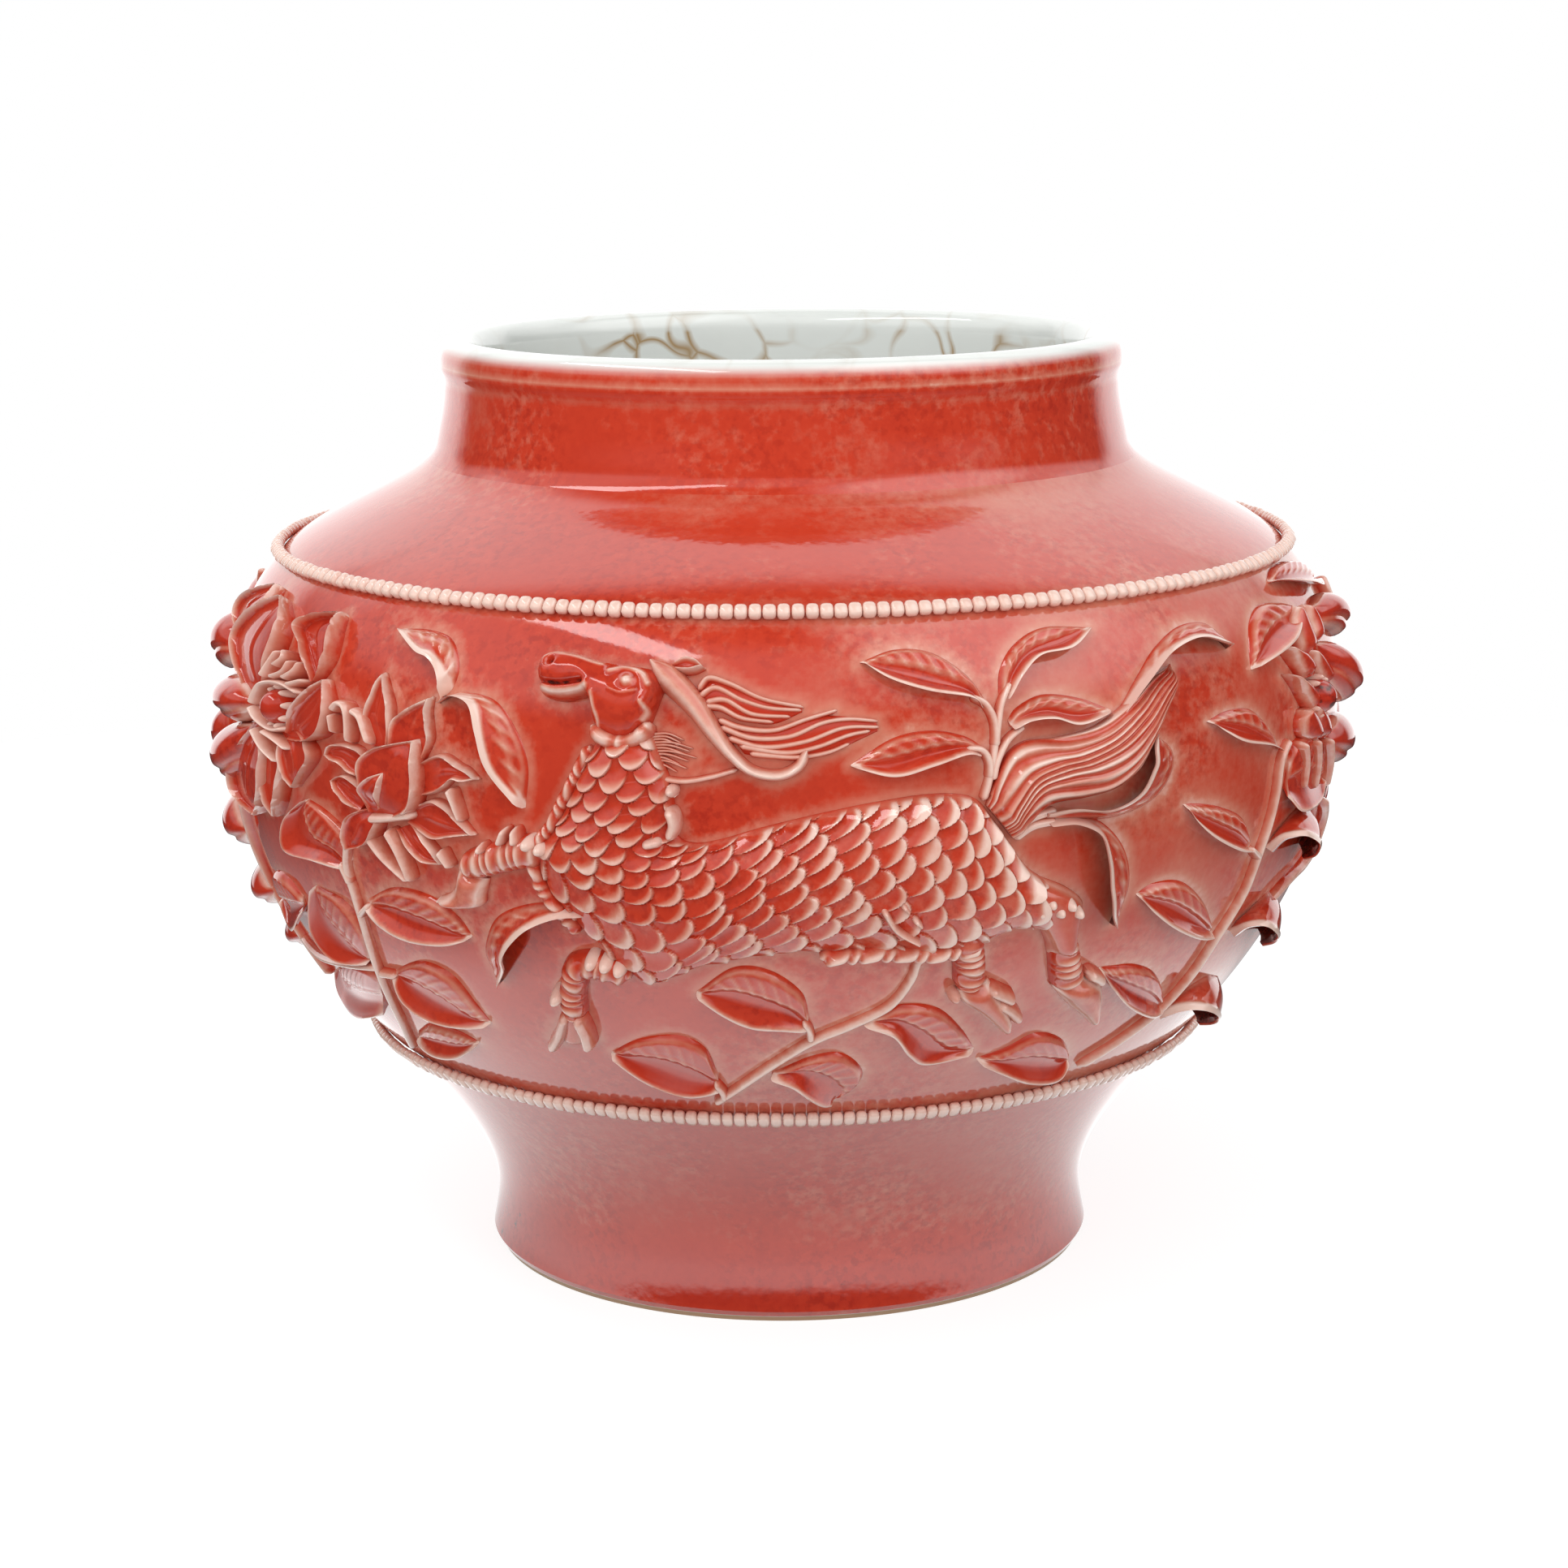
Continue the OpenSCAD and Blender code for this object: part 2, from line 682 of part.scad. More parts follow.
module left_leaves() {
    color(red) {
        leaf(
            [[-46.8, 41.8], [-44.6, 44.4], [-40, 46], [-36, 42.8], [-32.5, 38.2]],
            [[-47.2, 39.2], [-45.2, 35.8], [-41.5, 33.8], [-36.5, 34.6], [-32.5, 38.2]]
        );
        leaf(
            [[-48.4, 24.2], [-46, 27.6], [-42, 29.4], [-38, 27.6], [-34.5, 21.8]],
            [[-48.6, 21.4], [-46.2, 17.6], [-42, 15.6], [-38, 17.6], [-34.5, 21.8]]
        );
        leaf(
            [[-51.6, 8.2], [-49.4, 11.2], [-46.5, 13.2], [-43.5, 12.6], [-41.5, 9.8]],
            [[-52.6, 6], [-49.6, 5.8], [-47, 6.6], [-44, 7.8], [-41.5, 9.8]]
        );
        leaf(
            [[-48.6, 49], [-51, 54.4], [-54, 58], [-57.5, 56.4], [-60.5, 47.4]],
            [[-48.8, 47.2], [-52, 46.2], [-55.5, 46.2], [-58.5, 46.4], [-60.5, 47.4]]
        );
        leaf(
            [[-51, 30.4], [-53.4, 35], [-57, 37.8], [-61, 33.8], [-66, 25]],
            [[-51.2, 28], [-54, 25.4], [-58, 24.2], [-62, 24.2], [-66, 25]]
        );
        leaf(
            [[-52, 19.4], [-56.5, 22.2], [-62, 23.4], [-68, 21.4], [-73, 16.4]],
            [[-52.4, 17.2], [-57, 16.8], [-62, 16.4], [-68, 16], [-73, 16.4]]
        );
        leaf(
            [[-54.6, 9.8], [-58.5, 12.4], [-64, 13.6], [-70, 11.2], [-76, 6.2]],
            [[-55.4, 7.8], [-59, 6.6], [-64, 5.8], [-70, 5.4], [-76, 6.2]]
        );
        bulb(
            [[-76, 45.2], [-80, 49.8], [-86, 48.2], [-91, 41.2]],
            [[-76, 42.8], [-80, 39], [-86, 37.4], [-91, 41.2]]
        );
        bulb(
            [[-76, 32], [-80, 35], [-86, 33.4], [-91, 28]],
            [[-76, 29.6], [-80, 26.4], [-86, 25.6], [-91, 28]]
        );
        bulb(
            [[-80, 20.2], [-84, 22.6], [-88, 21], [-92, 17.2]],
            [[-80, 18.6], [-84, 15.6], [-88, 14.8], [-92, 17.2]]
        );
    }
}

module left_flower() {
    color(pale) {
        petal(
            [[-43.2, 76.2], [-44, 80.2], [-43.5, 84], [-42.6, 87.6]],
            [[-40.8, 76.2], [-40.4, 80.2], [-41.2, 84], [-42.6, 87.6]]
        );
        petal(
            [[-39.6, 76.6], [-39, 79.4], [-37.3, 82.2], [-35.3, 84.4]],
            [[-36, 75.8], [-35, 77.8], [-34.8, 81], [-35.3, 84.4]]
        );
        petal(
            [[-35.6, 73.6], [-34, 74.2], [-32, 73.6], [-29.8, 70.8]],
            [[-35.2, 68], [-33.8, 67.8], [-32, 68.8], [-29.8, 70.8]]
        );
        petal(
            [[-36, 64.6], [-34.2, 65.6], [-32, 63.6], [-30.3, 58.8]],
            [[-37.4, 60.4], [-35.8, 58.6], [-33, 57.6], [-30.3, 58.8]]
        );
        petal(
            [[-44.6, 73.4], [-46.4, 74], [-48.5, 73.2], [-50, 70.6]],
            [[-45.4, 69], [-47, 69.2], [-48.5, 69.6], [-50, 70.6]]
        );
        petal(
            [[-45.6, 67.8], [-47, 67.8], [-48, 67], [-49.4, 65.4]],
            [[-45.4, 62.8], [-46.6, 63.2], [-47.8, 63.8], [-49.4, 65.4]]
        );
        petal(
            [[-46.4, 75.4], [-47.2, 77.8], [-47.6, 79.4], [-48, 81]],
            [[-44.8, 75.4], [-45, 77.8], [-45.8, 79.8], [-48, 81]]
        );
        petal(
            [[-46.4, 52.8], [-46, 56], [-44.4, 58.4], [-42, 59.2]],
            [[-45.2, 51.6], [-44, 53], [-42.6, 55.2], [-42, 59.2]]
        );
        petal(
            [[-38.6, 59.4], [-36.8, 57.6], [-35.4, 54.4], [-34, 50.6]],
            [[-41, 58.6], [-39.5, 56], [-37.5, 52.4], [-34, 50.6]]
        );
        leaf(
            [[-44.4, 62.6], [-45, 67.8], [-42.5, 72.4], [-39.5, 74.6], [-37, 74.8]],
            [[-42, 60.4], [-38.5, 61.4], [-36.6, 65.4], [-36.2, 70], [-37, 74.8]],
            petal_rim * cup_rise,
            petal_rim * cup_rise,
            petal_dish
        );
    }
}

// Hooked leaves over the left flower
module left_hook() {
    color(red) {
        leaf(
            [[-33.4, 86.4], [-32.3, 89.4], [-33.2, 93.4], [-37, 96.4], [-42, 95.4]],
            [[-34.4, 86], [-34.9, 88], [-36.6, 90.4], [-39.4, 92.2], [-42, 95.4]]
        );
        curl(
            [[-33, 85.2], [-30.6, 86], [-27.4, 85.2], [-24.4, 80.2], [-23.2, 73.2], [-23.8, 65.4]],
            [[-33, 83.6], [-30.6, 83.2], [-29.2, 79], [-27.8, 73.6], [-26, 68.4], [-23.8, 65.4]]
        );
    }
}

// Flower at the left edge of the view, with the big petals round it
module edge_flower() {
    color(pale) rosette(edge_centre, round_petals);
}

module edge_petals() {
    color(red) {
        leaf(
            [[-57.4, 86.4], [-60.4, 89.4], [-59.5, 92.6], [-56.5, 95.4], [-53, 96.4]],
            [[-54.4, 86.4], [-52.2, 88], [-51.4, 90.6], [-51.8, 94.2], [-53, 96.4]]
        );
        leaf(
            [[-55, 69], [-55.2, 74], [-54.6, 78.6], [-52.8, 82], [-50, 83.2]],
            [[-53.6, 66.6], [-51.4, 68], [-50.6, 72.4], [-49.6, 77.8], [-50, 83.2]]
        );
        bulb(
            [[-67.6, 82.4], [-70.5, 89.4], [-77, 94.6], [-84, 93.4]],
            [[-69, 79.4], [-74, 82.4], [-79.5, 88], [-84, 93.4]]
        );
        bulb(
            [[-68.6, 76.6], [-73, 79.6], [-80, 81], [-88, 76.2]],
            [[-68.6, 73.4], [-73, 71.2], [-80, 71.6], [-88, 76.2]]
        );
        bulb(
            [[-68, 69.8], [-72, 69.2], [-79, 67.4], [-86, 62.2]],
            [[-67, 66.2], [-71.6, 61.2], [-78, 58.6], [-86, 62.2]]
        );
        bulb(
            [[-62, 63.6], [-65.4, 63.4], [-68.6, 60], [-69.5, 53.4]],
            [[-62, 61], [-64.4, 58.4], [-66.8, 55], [-69.5, 53.4]]
        );
    }
}

// Right spray
module right_stem() {
    path = [
        [57, 67], [55.8, 60], [55, 52.2], [54.3, 45.2], [54, 37.4], [53.3, 31.2], [51.5, 25], [50, 19.4],
        [47, 14], [42.5, 9], [38.6, 5.2]
    ];
    color(pale) stem(path, stem_swell);
}

module right_leaves() {
    color(red) {
        leaf(
            [[55.8, 68.4], [54, 72], [50.5, 75.4], [46.5, 77.4], [43.5, 75.4]],
            [[55.4, 66.6], [53, 67.8], [49.5, 69.2], [46, 72], [43.5, 75.4]]
        );
        leaf(
            [[52.8, 49], [51, 52.4], [47.5, 57.2], [43.5, 60.4], [40.2, 60.4]],
            [[52.6, 47], [49.5, 48.2], [45.5, 51.4], [42, 56], [40.2, 60.4]]
        );
        leaf(
            [[51.6, 30.8], [49, 34.2], [45.5, 40.4], [41, 44.8], [36, 42.8]],
            [[51, 28.6], [47, 30.4], [42.5, 34.6], [38.5, 39.6], [36, 42.8]]
        );
        leaf(
            [[47.6, 16.8], [46, 19.2], [43, 23.4], [39, 27.2], [34.8, 27.8]],
            [[46, 14.4], [44, 15.2], [40.4, 18.2], [37, 22.8], [34.8, 27.8]]
        );
        leaf(
            [[38.4, 7], [35, 9.6], [31, 12.8], [26.5, 13.6], [22, 10.2]],
            [[37, 5], [33.4, 4.6], [28.5, 5.2], [25, 7.4], [22, 10.2]]
        );
        leaf(
            [[57.4, 63.6], [58.8, 67.2], [62.5, 67.8], [66.5, 63], [68.5, 56]],
            [[56.6, 56.8], [58.4, 53.4], [61.5, 51.8], [65.5, 52.6], [68.5, 56]]
        );
        leaf(
            [[67, 93.8], [62.5, 94.2], [57, 92.2], [53.5, 88.4], [51.5, 84.4]],
            [[67, 92.2], [63.5, 89.8], [59, 87.6], [55, 85.2], [51.5, 84.4]]
        );
    }
}

module right_curls() {
    color(red) {
        curl(
            [[55.6, 48.6], [60, 50.6], [67, 50.4], [74, 47.4], [81, 40.4]],
            [[55.8, 46.6], [60, 46.6], [67, 44], [74, 41.2], [81, 40.4]]
        );
        curl(
            [[55.2, 32], [59, 33.6], [65, 32.6], [72, 28.8], [79, 21.8]],
            [[55, 29.8], [59, 28.4], [65, 25.4], [72, 22.2], [79, 21.8]]
        );
        curl(
            [[51, 16.4], [55, 17.6], [61, 16], [68, 12], [75, 6.2]],
            [[50.6, 13.8], [55, 11.6], [61, 8.8], [68, 6.2], [75, 6.2]]
        );
        curl(
            [[68, 94.2], [72, 97.2], [79, 96.8], [87, 90.2]],
            [[69, 92.2], [73, 92.2], [80, 91], [87, 90.2]]
        );
    }
}

module right_flower() {
    color(pale) {
        rosette(right_centre, round_petals);
        bulb(
            [[76, 81.8], [79, 86.4], [85, 88], [91, 82.4]],
            [[76.5, 79.4], [80, 78.6], [86, 78.6], [91, 82.4]]
        );
        bulb(
            [[76.5, 73.2], [80, 74.8], [86, 74], [91, 68.4]],
            [[76, 70.4], [80, 67], [86, 64.6], [91, 68.4]]
        );
    }
}

// Hearts of both round flowers
module flower_hearts() {
    color(pale)
        for (centre = [edge_centre, right_centre]) dome(centre, heart_r, petal_rim);
}

foot_section();
lower_belly();
upper_belly();
neck();
upper_bead_string();
lower_bead_string();
rotate(0) qilin_body();  // front_qilin_body
rotate(0) qilin_head();  // front_qilin_head
rotate(0) qilin_horn();  // front_qilin_horn
rotate(0) qilin_mane();  // front_qilin_mane
rotate(0) qilin_tail();  // front_qilin_tail
rotate(0) near_foreleg();  // front_near_foreleg
rotate(0) far_foreleg();  // front_far_foreleg
rotate(0) near_hind_leg();  // front_near_hind_leg
rotate(0) far_hind_leg();  // front_far_hind_leg
rotate(0) rump_stem();  // front_rump_stem
rotate(0) rump_leaves();  // front_rump_leaves
rotate(0) tail_curls();  // front_tail_curls
rotate(0) chest_curl();  // front_chest_curl
rotate(0) low_stem();  // front_low_stem
rotate(0) low_leaves();  // front_low_leaves
rotate(0) left_stem();  // front_left_stem
rotate(0) left_leaves();  // front_left_leaves
rotate(0) left_flower();  // front_left_flower
rotate(0) left_hook();  // front_left_hook
rotate(0) edge_flower();  // front_edge_flower
rotate(0) edge_petals();  // front_edge_petals
rotate(0) right_stem();  // front_right_stem
rotate(0) right_leaves();  // front_right_leaves
rotate(0) right_curls();  // front_right_curls
rotate(0) right_flower();  // front_right_flower
rotate(0) flower_hearts();  // front_flower_hearts
rotate(180) qilin_body();  // back_qilin_body
rotate(180) qilin_head();  // back_qilin_head
rotate(180) qilin_horn();  // back_qilin_horn
rotate(180) qilin_mane();  // back_qilin_mane
rotate(180) qilin_tail();  // back_qilin_tail
rotate(180) near_foreleg();  // back_near_foreleg
rotate(180) far_foreleg();  // back_far_foreleg
rotate(180) near_hind_leg();  // back_near_hind_leg
rotate(180) far_hind_leg();  // back_far_hind_leg
rotate(180) rump_stem();  // back_rump_stem
rotate(180) rump_leaves();  // back_rump_leaves
rotate(180) tail_curls();  // back_tail_curls
rotate(180) chest_curl();  // back_chest_curl
rotate(180) low_stem();  // back_low_stem
rotate(180) low_leaves();  // back_low_leaves
rotate(180) left_stem();  // back_left_stem
rotate(180) left_leaves();  // back_left_leaves
rotate(180) left_flower();  // back_left_flower
rotate(180) left_hook();  // back_left_hook
rotate(180) edge_flower();  // back_edge_flower
rotate(180) edge_petals();  // back_edge_petals
rotate(180) right_stem();  // back_right_stem
rotate(180) right_leaves();  // back_right_leaves
rotate(180) right_curls();  // back_right_curls
rotate(180) right_flower();  // back_right_flower
rotate(180) flower_hearts();  // back_flower_hearts
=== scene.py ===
import math

import bpy
import numpy as np
from mathutils import Matrix, Vector
from mathutils.kdtree import KDTree


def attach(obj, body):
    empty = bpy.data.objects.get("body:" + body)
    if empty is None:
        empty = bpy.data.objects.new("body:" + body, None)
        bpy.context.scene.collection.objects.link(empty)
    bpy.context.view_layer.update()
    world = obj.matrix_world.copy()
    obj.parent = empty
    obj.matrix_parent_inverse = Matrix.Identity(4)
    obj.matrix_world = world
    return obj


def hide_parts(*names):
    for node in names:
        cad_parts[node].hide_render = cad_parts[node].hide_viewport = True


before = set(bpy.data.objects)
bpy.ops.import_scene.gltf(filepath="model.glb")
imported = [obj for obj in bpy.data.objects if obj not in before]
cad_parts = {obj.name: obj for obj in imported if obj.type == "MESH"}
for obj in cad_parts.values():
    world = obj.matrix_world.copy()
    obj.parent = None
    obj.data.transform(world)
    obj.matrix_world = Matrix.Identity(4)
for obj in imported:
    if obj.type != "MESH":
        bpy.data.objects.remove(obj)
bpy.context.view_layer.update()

# Sizes of the jar in millimetres, as in the part's source
JAR_H = 250
FOOT_R, TOE_H, TOE_IN = 83.3, 3, 1.8
RING_W, RECESS_H = 14, 6
WALL, FLOOR_Z, FLOOR_ROUND = 8, 18, 14
LOWER_BAND_Z, BELLY_Z, UPPER_BAND_Z, NECK_Z = 66, 150, 194.5, 218
MOUTH_R, LIP_W, LIP_H = 82, 9.5, 6
UPPER_PITCH, LOWER_PITCH = 3.32, 3
# Radius and length of the glazed beads, and their gap from the wall
UPPER_BEAD_R, UPPER_BEAD_L = 1.6, 3.6
LOWER_BEAD_R, LOWER_BEAD_L = 1.45, 4.6
BEAD_GAP = 0.1
# Bare edge of the foot, and the heights of the ridge, the groove and the pale lines below the lip
BARE_H, RIDGE_Z, GROOVE_Z, PALE_LINES_Z = 1.4, 242, 238.2, (243.4, 239)
# Centres and radius of the hearts of the two open flowers
HEARTS, HEART_R = ((-56.4, 76.5), (63.2, 74.4)), 4.5
# Height, radius, slope below and slope above of the knots of the outside
KNOTS = np.array(
    [
        (TOE_H, FOOT_R, 0, -0.2),
        (15, 81.7, 0, 0),
        (LOWER_BAND_Z, 113, 0.9, 0.9),
        (BELLY_Z, 150, 0, 0),
        (UPPER_BAND_Z, 135, -0.95, -0.95),
        (214, 101, -1.75, -1.75),
        (222, 93.2, -0.2, -0.2),
        (238, 90.6, 0, 0),
        (JAR_H - LIP_H, 91.5, 0, 0),
    ]
)
FRIEZE_MM = (UPPER_BAND_Z - LOWER_BAND_Z) / 100
# How far the back of a sprig goes into the wall
SEAT = -0.4
# Heights of a funnel's free edge
FLARE_RISE = (1.5, 4, 6, 8, 9, 9, 7, 4)
# Share of an edge left off at each end, where its sheet closes
TRIM = 0.008
# Coats of the thrown sections: red glaze, white glaze and bare clay
RED_COAT, WHITE_COAT, BARE_COAT = 0.0, 1.0, 2.0
# Thinness of the glaze on the plain wall, and the painted shade in the hollow under a sheet that stands off
# the wall
WALL_THIN, UNDER_SHEET_SHADE = 0.27, -0.25
MM = 0.001
rng = np.random.default_rng(11)


# Wall of the jar and curves drawn on it


def outer_r(z):
    z = np.asarray(z, float)
    i = np.clip(np.searchsorted(KNOTS[:, 0], z) - 1, 0, len(KNOTS) - 2)
    a, b = KNOTS[i], KNOTS[i + 1]
    d = b[..., 0] - a[..., 0]
    t = np.clip((z - a[..., 0]) / d, 0, 1)
    r = (
        a[..., 1] * (1 + 2 * t) * (1 - t) ** 2
        + a[..., 3] * d * t * (1 - t) ** 2
        + b[..., 1] * t * t * (3 - 2 * t)
        + b[..., 2] * d * t * t * (t - 1)
    )
    return np.where(z < TOE_H, FOOT_R - TOE_IN * (1 - z / TOE_H), r)


def slope(z):
    return outer_r(np.asarray(z) + 0.5) - outer_r(np.asarray(z) - 0.5)


def proud(az, v, h):
    """Points h millimetres proud of the wall at frieze points (degrees, percent of the frieze)."""
    z = LOWER_BAND_Z + v * FRIEZE_MM
    s = slope(z)
    n = np.sqrt(1 + s * s)
    r = outer_r(z) + h / n
    a = np.radians(az)
    return np.stack([r * np.sin(a), -r * np.cos(a), z - h * s / n], -1)


def wall_mm(az, v):
    """Millimetres along the wall for one degree and for one percent, at a frieze point."""
    z = LOWER_BAND_Z + np.asarray(v) * FRIEZE_MM
    return np.radians(outer_r(z)), FRIEZE_MM * np.sqrt(1 + slope(z) ** 2)


def on_curve(points, t):
    """Smooth curve through frieze points, t from 0 to 1."""
    v = np.asarray(points, float)
    n = len(v) - 1
    v = np.vstack([2 * v[0] - v[1], v, 2 * v[-1] - v[-2]])
    i = np.minimum((t * n).astype(int), n - 1)
    f = (t * n - i)[:, None]
    a, b, c, d = v[i], v[i + 1], v[i + 2], v[i + 3]
    return b + 0.5 * f * (c - a + f * (2 * a - 5 * b + 4 * c - d + f * (3 * b - a - 3 * c + d)))


def lengths(path):
    """Distance along a path on the wall, in millimetres."""
    dx, dy = wall_mm(path[:, 0], path[:, 1])
    step = np.hypot(np.diff(path[:, 0]) * dx[1:], np.diff(path[:, 1]) * dy[1:])
    return np.concatenate([[0], np.cumsum(step)])


def beside(path, w):
    """A path and its two edges, w millimetres to either side."""
    dx, dy = wall_mm(path[:, 0], path[:, 1])
    tx, ty = np.gradient(path[:, 0]) * dx, np.gradient(path[:, 1]) * dy
    l = np.hypot(tx, ty)
    off = np.stack([-ty / l / dx, tx / l / dy], -1) * np.asarray(w)[..., None]
    return path + off, path - off


def far_from(az, v, points, count=60):
    """Distance in millimetres from grid points to a curve on the wall."""
    dx, dy = wall_mm(az, v)
    near = np.full(az.shape, 1e9)
    for p in on_curve(points, np.linspace(0, 1, count)):
        near = np.minimum(near, np.hypot((az - p[0]) * dx, (v - p[1]) * dy))
    return near


def smooth(x, lo=0.0, hi=1.0):
    x = np.clip((x - lo) / (hi - lo), 0, 1)
    return x * x * (3 - 2 * x)


def bell(x, width):
    return np.exp(-((x / width) ** 2))


# Closed shells of clay


class Clay:
    """Closed shells that make up one piece, with the thinness of the glaze at every point."""

    def __init__(self):
        self.points, self.quads, self.tris, self.thin = [], [], [], []
        self.count = 0

    def shell(self, rings, thin):
        """Loft through closed rings, with a fan at each end."""
        n, m = rings.shape[:2]
        flat = rings.reshape(-1, 3)
        ends = np.stack([rings[0].mean(0), rings[-1].mean(0)])
        pts = np.vstack([flat, ends])
        j = np.arange(m)
        k = (j + 1) % m
        i = np.arange(n - 1)[:, None] * m
        quads = np.stack([i + j, i + m + j, i + m + k, i + k], -1).reshape(-1, 4)
        last = (n - 1) * m
        tris = np.vstack(
            [
                np.stack([np.full(m, n * m), j, k], -1),
                np.stack([np.full(m, n * m + 1), last + k, last + j], -1),
            ]
        )
        every = np.vstack([quads[:, :3], quads[:, [0, 2, 3]], tris])
        p = pts[every] - pts.mean(0)
        if np.einsum("ij,ij->i", p[:, 0], np.cross(p[:, 1], p[:, 2])).sum() < 0:
            quads, tris = quads[:, ::-1], tris[:, ::-1]
        self.points.append(pts)
        self.quads.append(quads + self.count)
        self.tris.append(tris + self.count)
        self.thin.append(np.concatenate([thin.ravel(), [thin[0].mean(), thin[-1].mean()]]))
        self.count += len(pts)

    def loft(self, p, q, s, h, thin):
        """Shell between two edges: s is the place across, h the height, row by row."""
        at = p[:, None, :] + (q - p)[:, None, :] * s[..., None]
        self.shell(proud(at[..., 0], at[..., 1], h), thin)

    def body(self, p, q, top, thin, cols, floor=None):
        """Loft with a free upper side and a back that is seated in the wall."""
        s = np.linspace(0, 1, cols)
        back = np.linspace(1, 0, 5)[1:-1]
        n = len(p)
        under = np.full((n, len(back)), SEAT) if floor is None else floor
        low = np.full((n, 1), SEAT)
        ring_s = np.concatenate([[0], s, [1], back])
        ring_h = np.hstack([low, top, low, under])
        foot = np.full((n, 1), 0.22)
        pale = np.hstack([foot, thin, foot, np.full((n, len(back)), 0.2)])
        self.loft(p, q, np.broadcast_to(ring_s, ring_h.shape), ring_h, pale)


def widths(p, q):
    dx, dy = wall_mm(*((p + q) / 2).T)
    d = q - p
    return np.hypot(d[:, 0] * dx, d[:, 1] * dy)[:, None]


def between(a, b, count, cols, trim=TRIM):
    """Rows of points on two edges, with the place along them, across them and the width in millimetres."""
    t = np.linspace(trim, 1 - trim, count)
    p, q = on_curve(a, t), on_curve(b, t)
    return p, q, t[:, None], np.linspace(0, 1, cols)[None, :], widths(p, q)


def leaf(clay, a, b, rim_a=2.2, rim_b=4.4, dish=1.3, veins=10, count=60, cols=36, stalk=None):
    """Leaf with a soft upper edge, a ribbed half, a hollow half and a crisp lower rim over an undercut."""
    p, q, t, s, w = between(a, b + a[-1:], count, cols)
    from_a, from_b = s * w, (1 - s) * w
    grow = 0.45 + 0.55 * np.sin(np.pi * t**0.75)
    rib = bell((s - 0.44) * w, 0.8) * smooth(t, 0, 0.1) * (1 - smooth(t, 0.75, 1))
    half = smooth(s, 0.06, 0.2) * (1 - smooth(s, 0.46, 0.56))
    vein = (0.5 + 0.5 * np.cos(2 * np.pi * (t * veins + s * 3.0))) ** 2.5 * half * smooth(t, 0.2, 0.35)
    top = dish + (rim_a - dish) * (1 - smooth(s, 0.3, 0.55)) + (rim_b - dish) * smooth(s, 0.62, 1) ** 1.4
    top = top + 0.5 * rib + 0.25 * vein + 0.35 * bell(from_b - 0.6, 0.5)
    top = top * grow * smooth(from_a, -0.5, 2.0)
    thin = 0.24 + 0.72 * bell(from_b - 0.2, 0.75) + 0.25 * rib + 0.22 * vein
    thin = thin + 0.3 * bell(from_a - 1.2, 0.55) + 0.4 * smooth(t, 0.93, 1) + 0.4 * (1 - smooth(t, 0, 0.1))
    thin = thin - 0.08 * bell((s - 0.72) * w, 2.6)
    edge = np.minimum(np.array([0.4, 1.3, 2.6]) / w, np.array([0.06, 0.2, 0.4]))
    lift = top[:, -1:] * np.array([0.7, 0.4, 0])
    lift[:, 2] = SEAT
    back = np.array([0.4, 0.15])
    ring_s = np.hstack([np.repeat(s, count, 0), 1 - edge, np.repeat(back[None], count, 0)])
    ring_h = np.hstack([top, lift, np.full((count, 2), SEAT)])
    ring_h[:, 0] = SEAT
    pale = np.hstack([thin, np.full((count, 5), 0.1)])
    clay.loft(p, q, ring_s, ring_h, pale)
    if stalk:
        strand(clay, stalk, 1.8, 2.4, 2.6, 2.6, count=24, cols=9, thin=0.9)


def curl(clay, a, b, rim=7.0, sheet=1.5, count=60, cols=34):
    """Curled leaf: a thin sheet whose second edge stands off the wall, rolled and pale, over a hollow with
    painted shade.
    """
    p, q, t, s, w = between(a, b + a[-1:], count, cols)
    rise = smooth(t, -0.25, 0.35) * (1 - 0.6 * smooth(t, 0.7, 1))
    crest = 1.8 + (rim - 1.8) * rise
    from_b = (1 - s) * w
    top = 0.6 + (crest - 0.6) * s**1.3 + 0.35 * bell((s - 0.4) * w, 1.0) + 0.5 * bell(from_b - 0.9, 0.8)
    ripple = (0.5 + 0.5 * np.cos(2 * np.pi * (t * 9 + s * 2.0))) ** 2 * smooth(s, 0.1, 0.3)
    ripple = ripple * (1 - smooth(s, 0.5, 0.7)) * smooth(t, 0.2, 0.35)
    top = (top + 0.25 * ripple) * smooth(s * w, -0.5, 1.8)
    thin = 0.24 + 0.8 * (1 - smooth(from_b, 0.9, 2.2)) + 0.25 * ripple + 0.25 * bell(s * w - 1.3, 0.6)
    thin = thin + 0.4 * smooth(t, 0.92, 1) + 0.2 * bell((s - 0.4) * w, 0.9)
    under_s = np.array([0.99, 0.94, 0.84, 0.72, 0.6, 0.48, 0.34])
    deep = np.stack([np.interp(under_s, s[0], row) for row in top]) - sheet
    deep[:, 0] += 0.6
    deep = np.maximum(deep, SEAT)
    deep[:, -1] = SEAT
    ring_s = np.repeat(np.hstack([s, under_s[None], [[0.15]]]), count, 0)
    ring_h = np.hstack([top, deep, np.full((count, 1), SEAT)])
    ring_h[:, 0] = SEAT
    # The underside rows carry painted shade, near black in the hollow
    pale = np.hstack([thin, np.full((count, 1), 0.7), np.full((count, 7), UNDER_SHEET_SHADE)])
    clay.loft(p, q, ring_s, ring_h, pale)


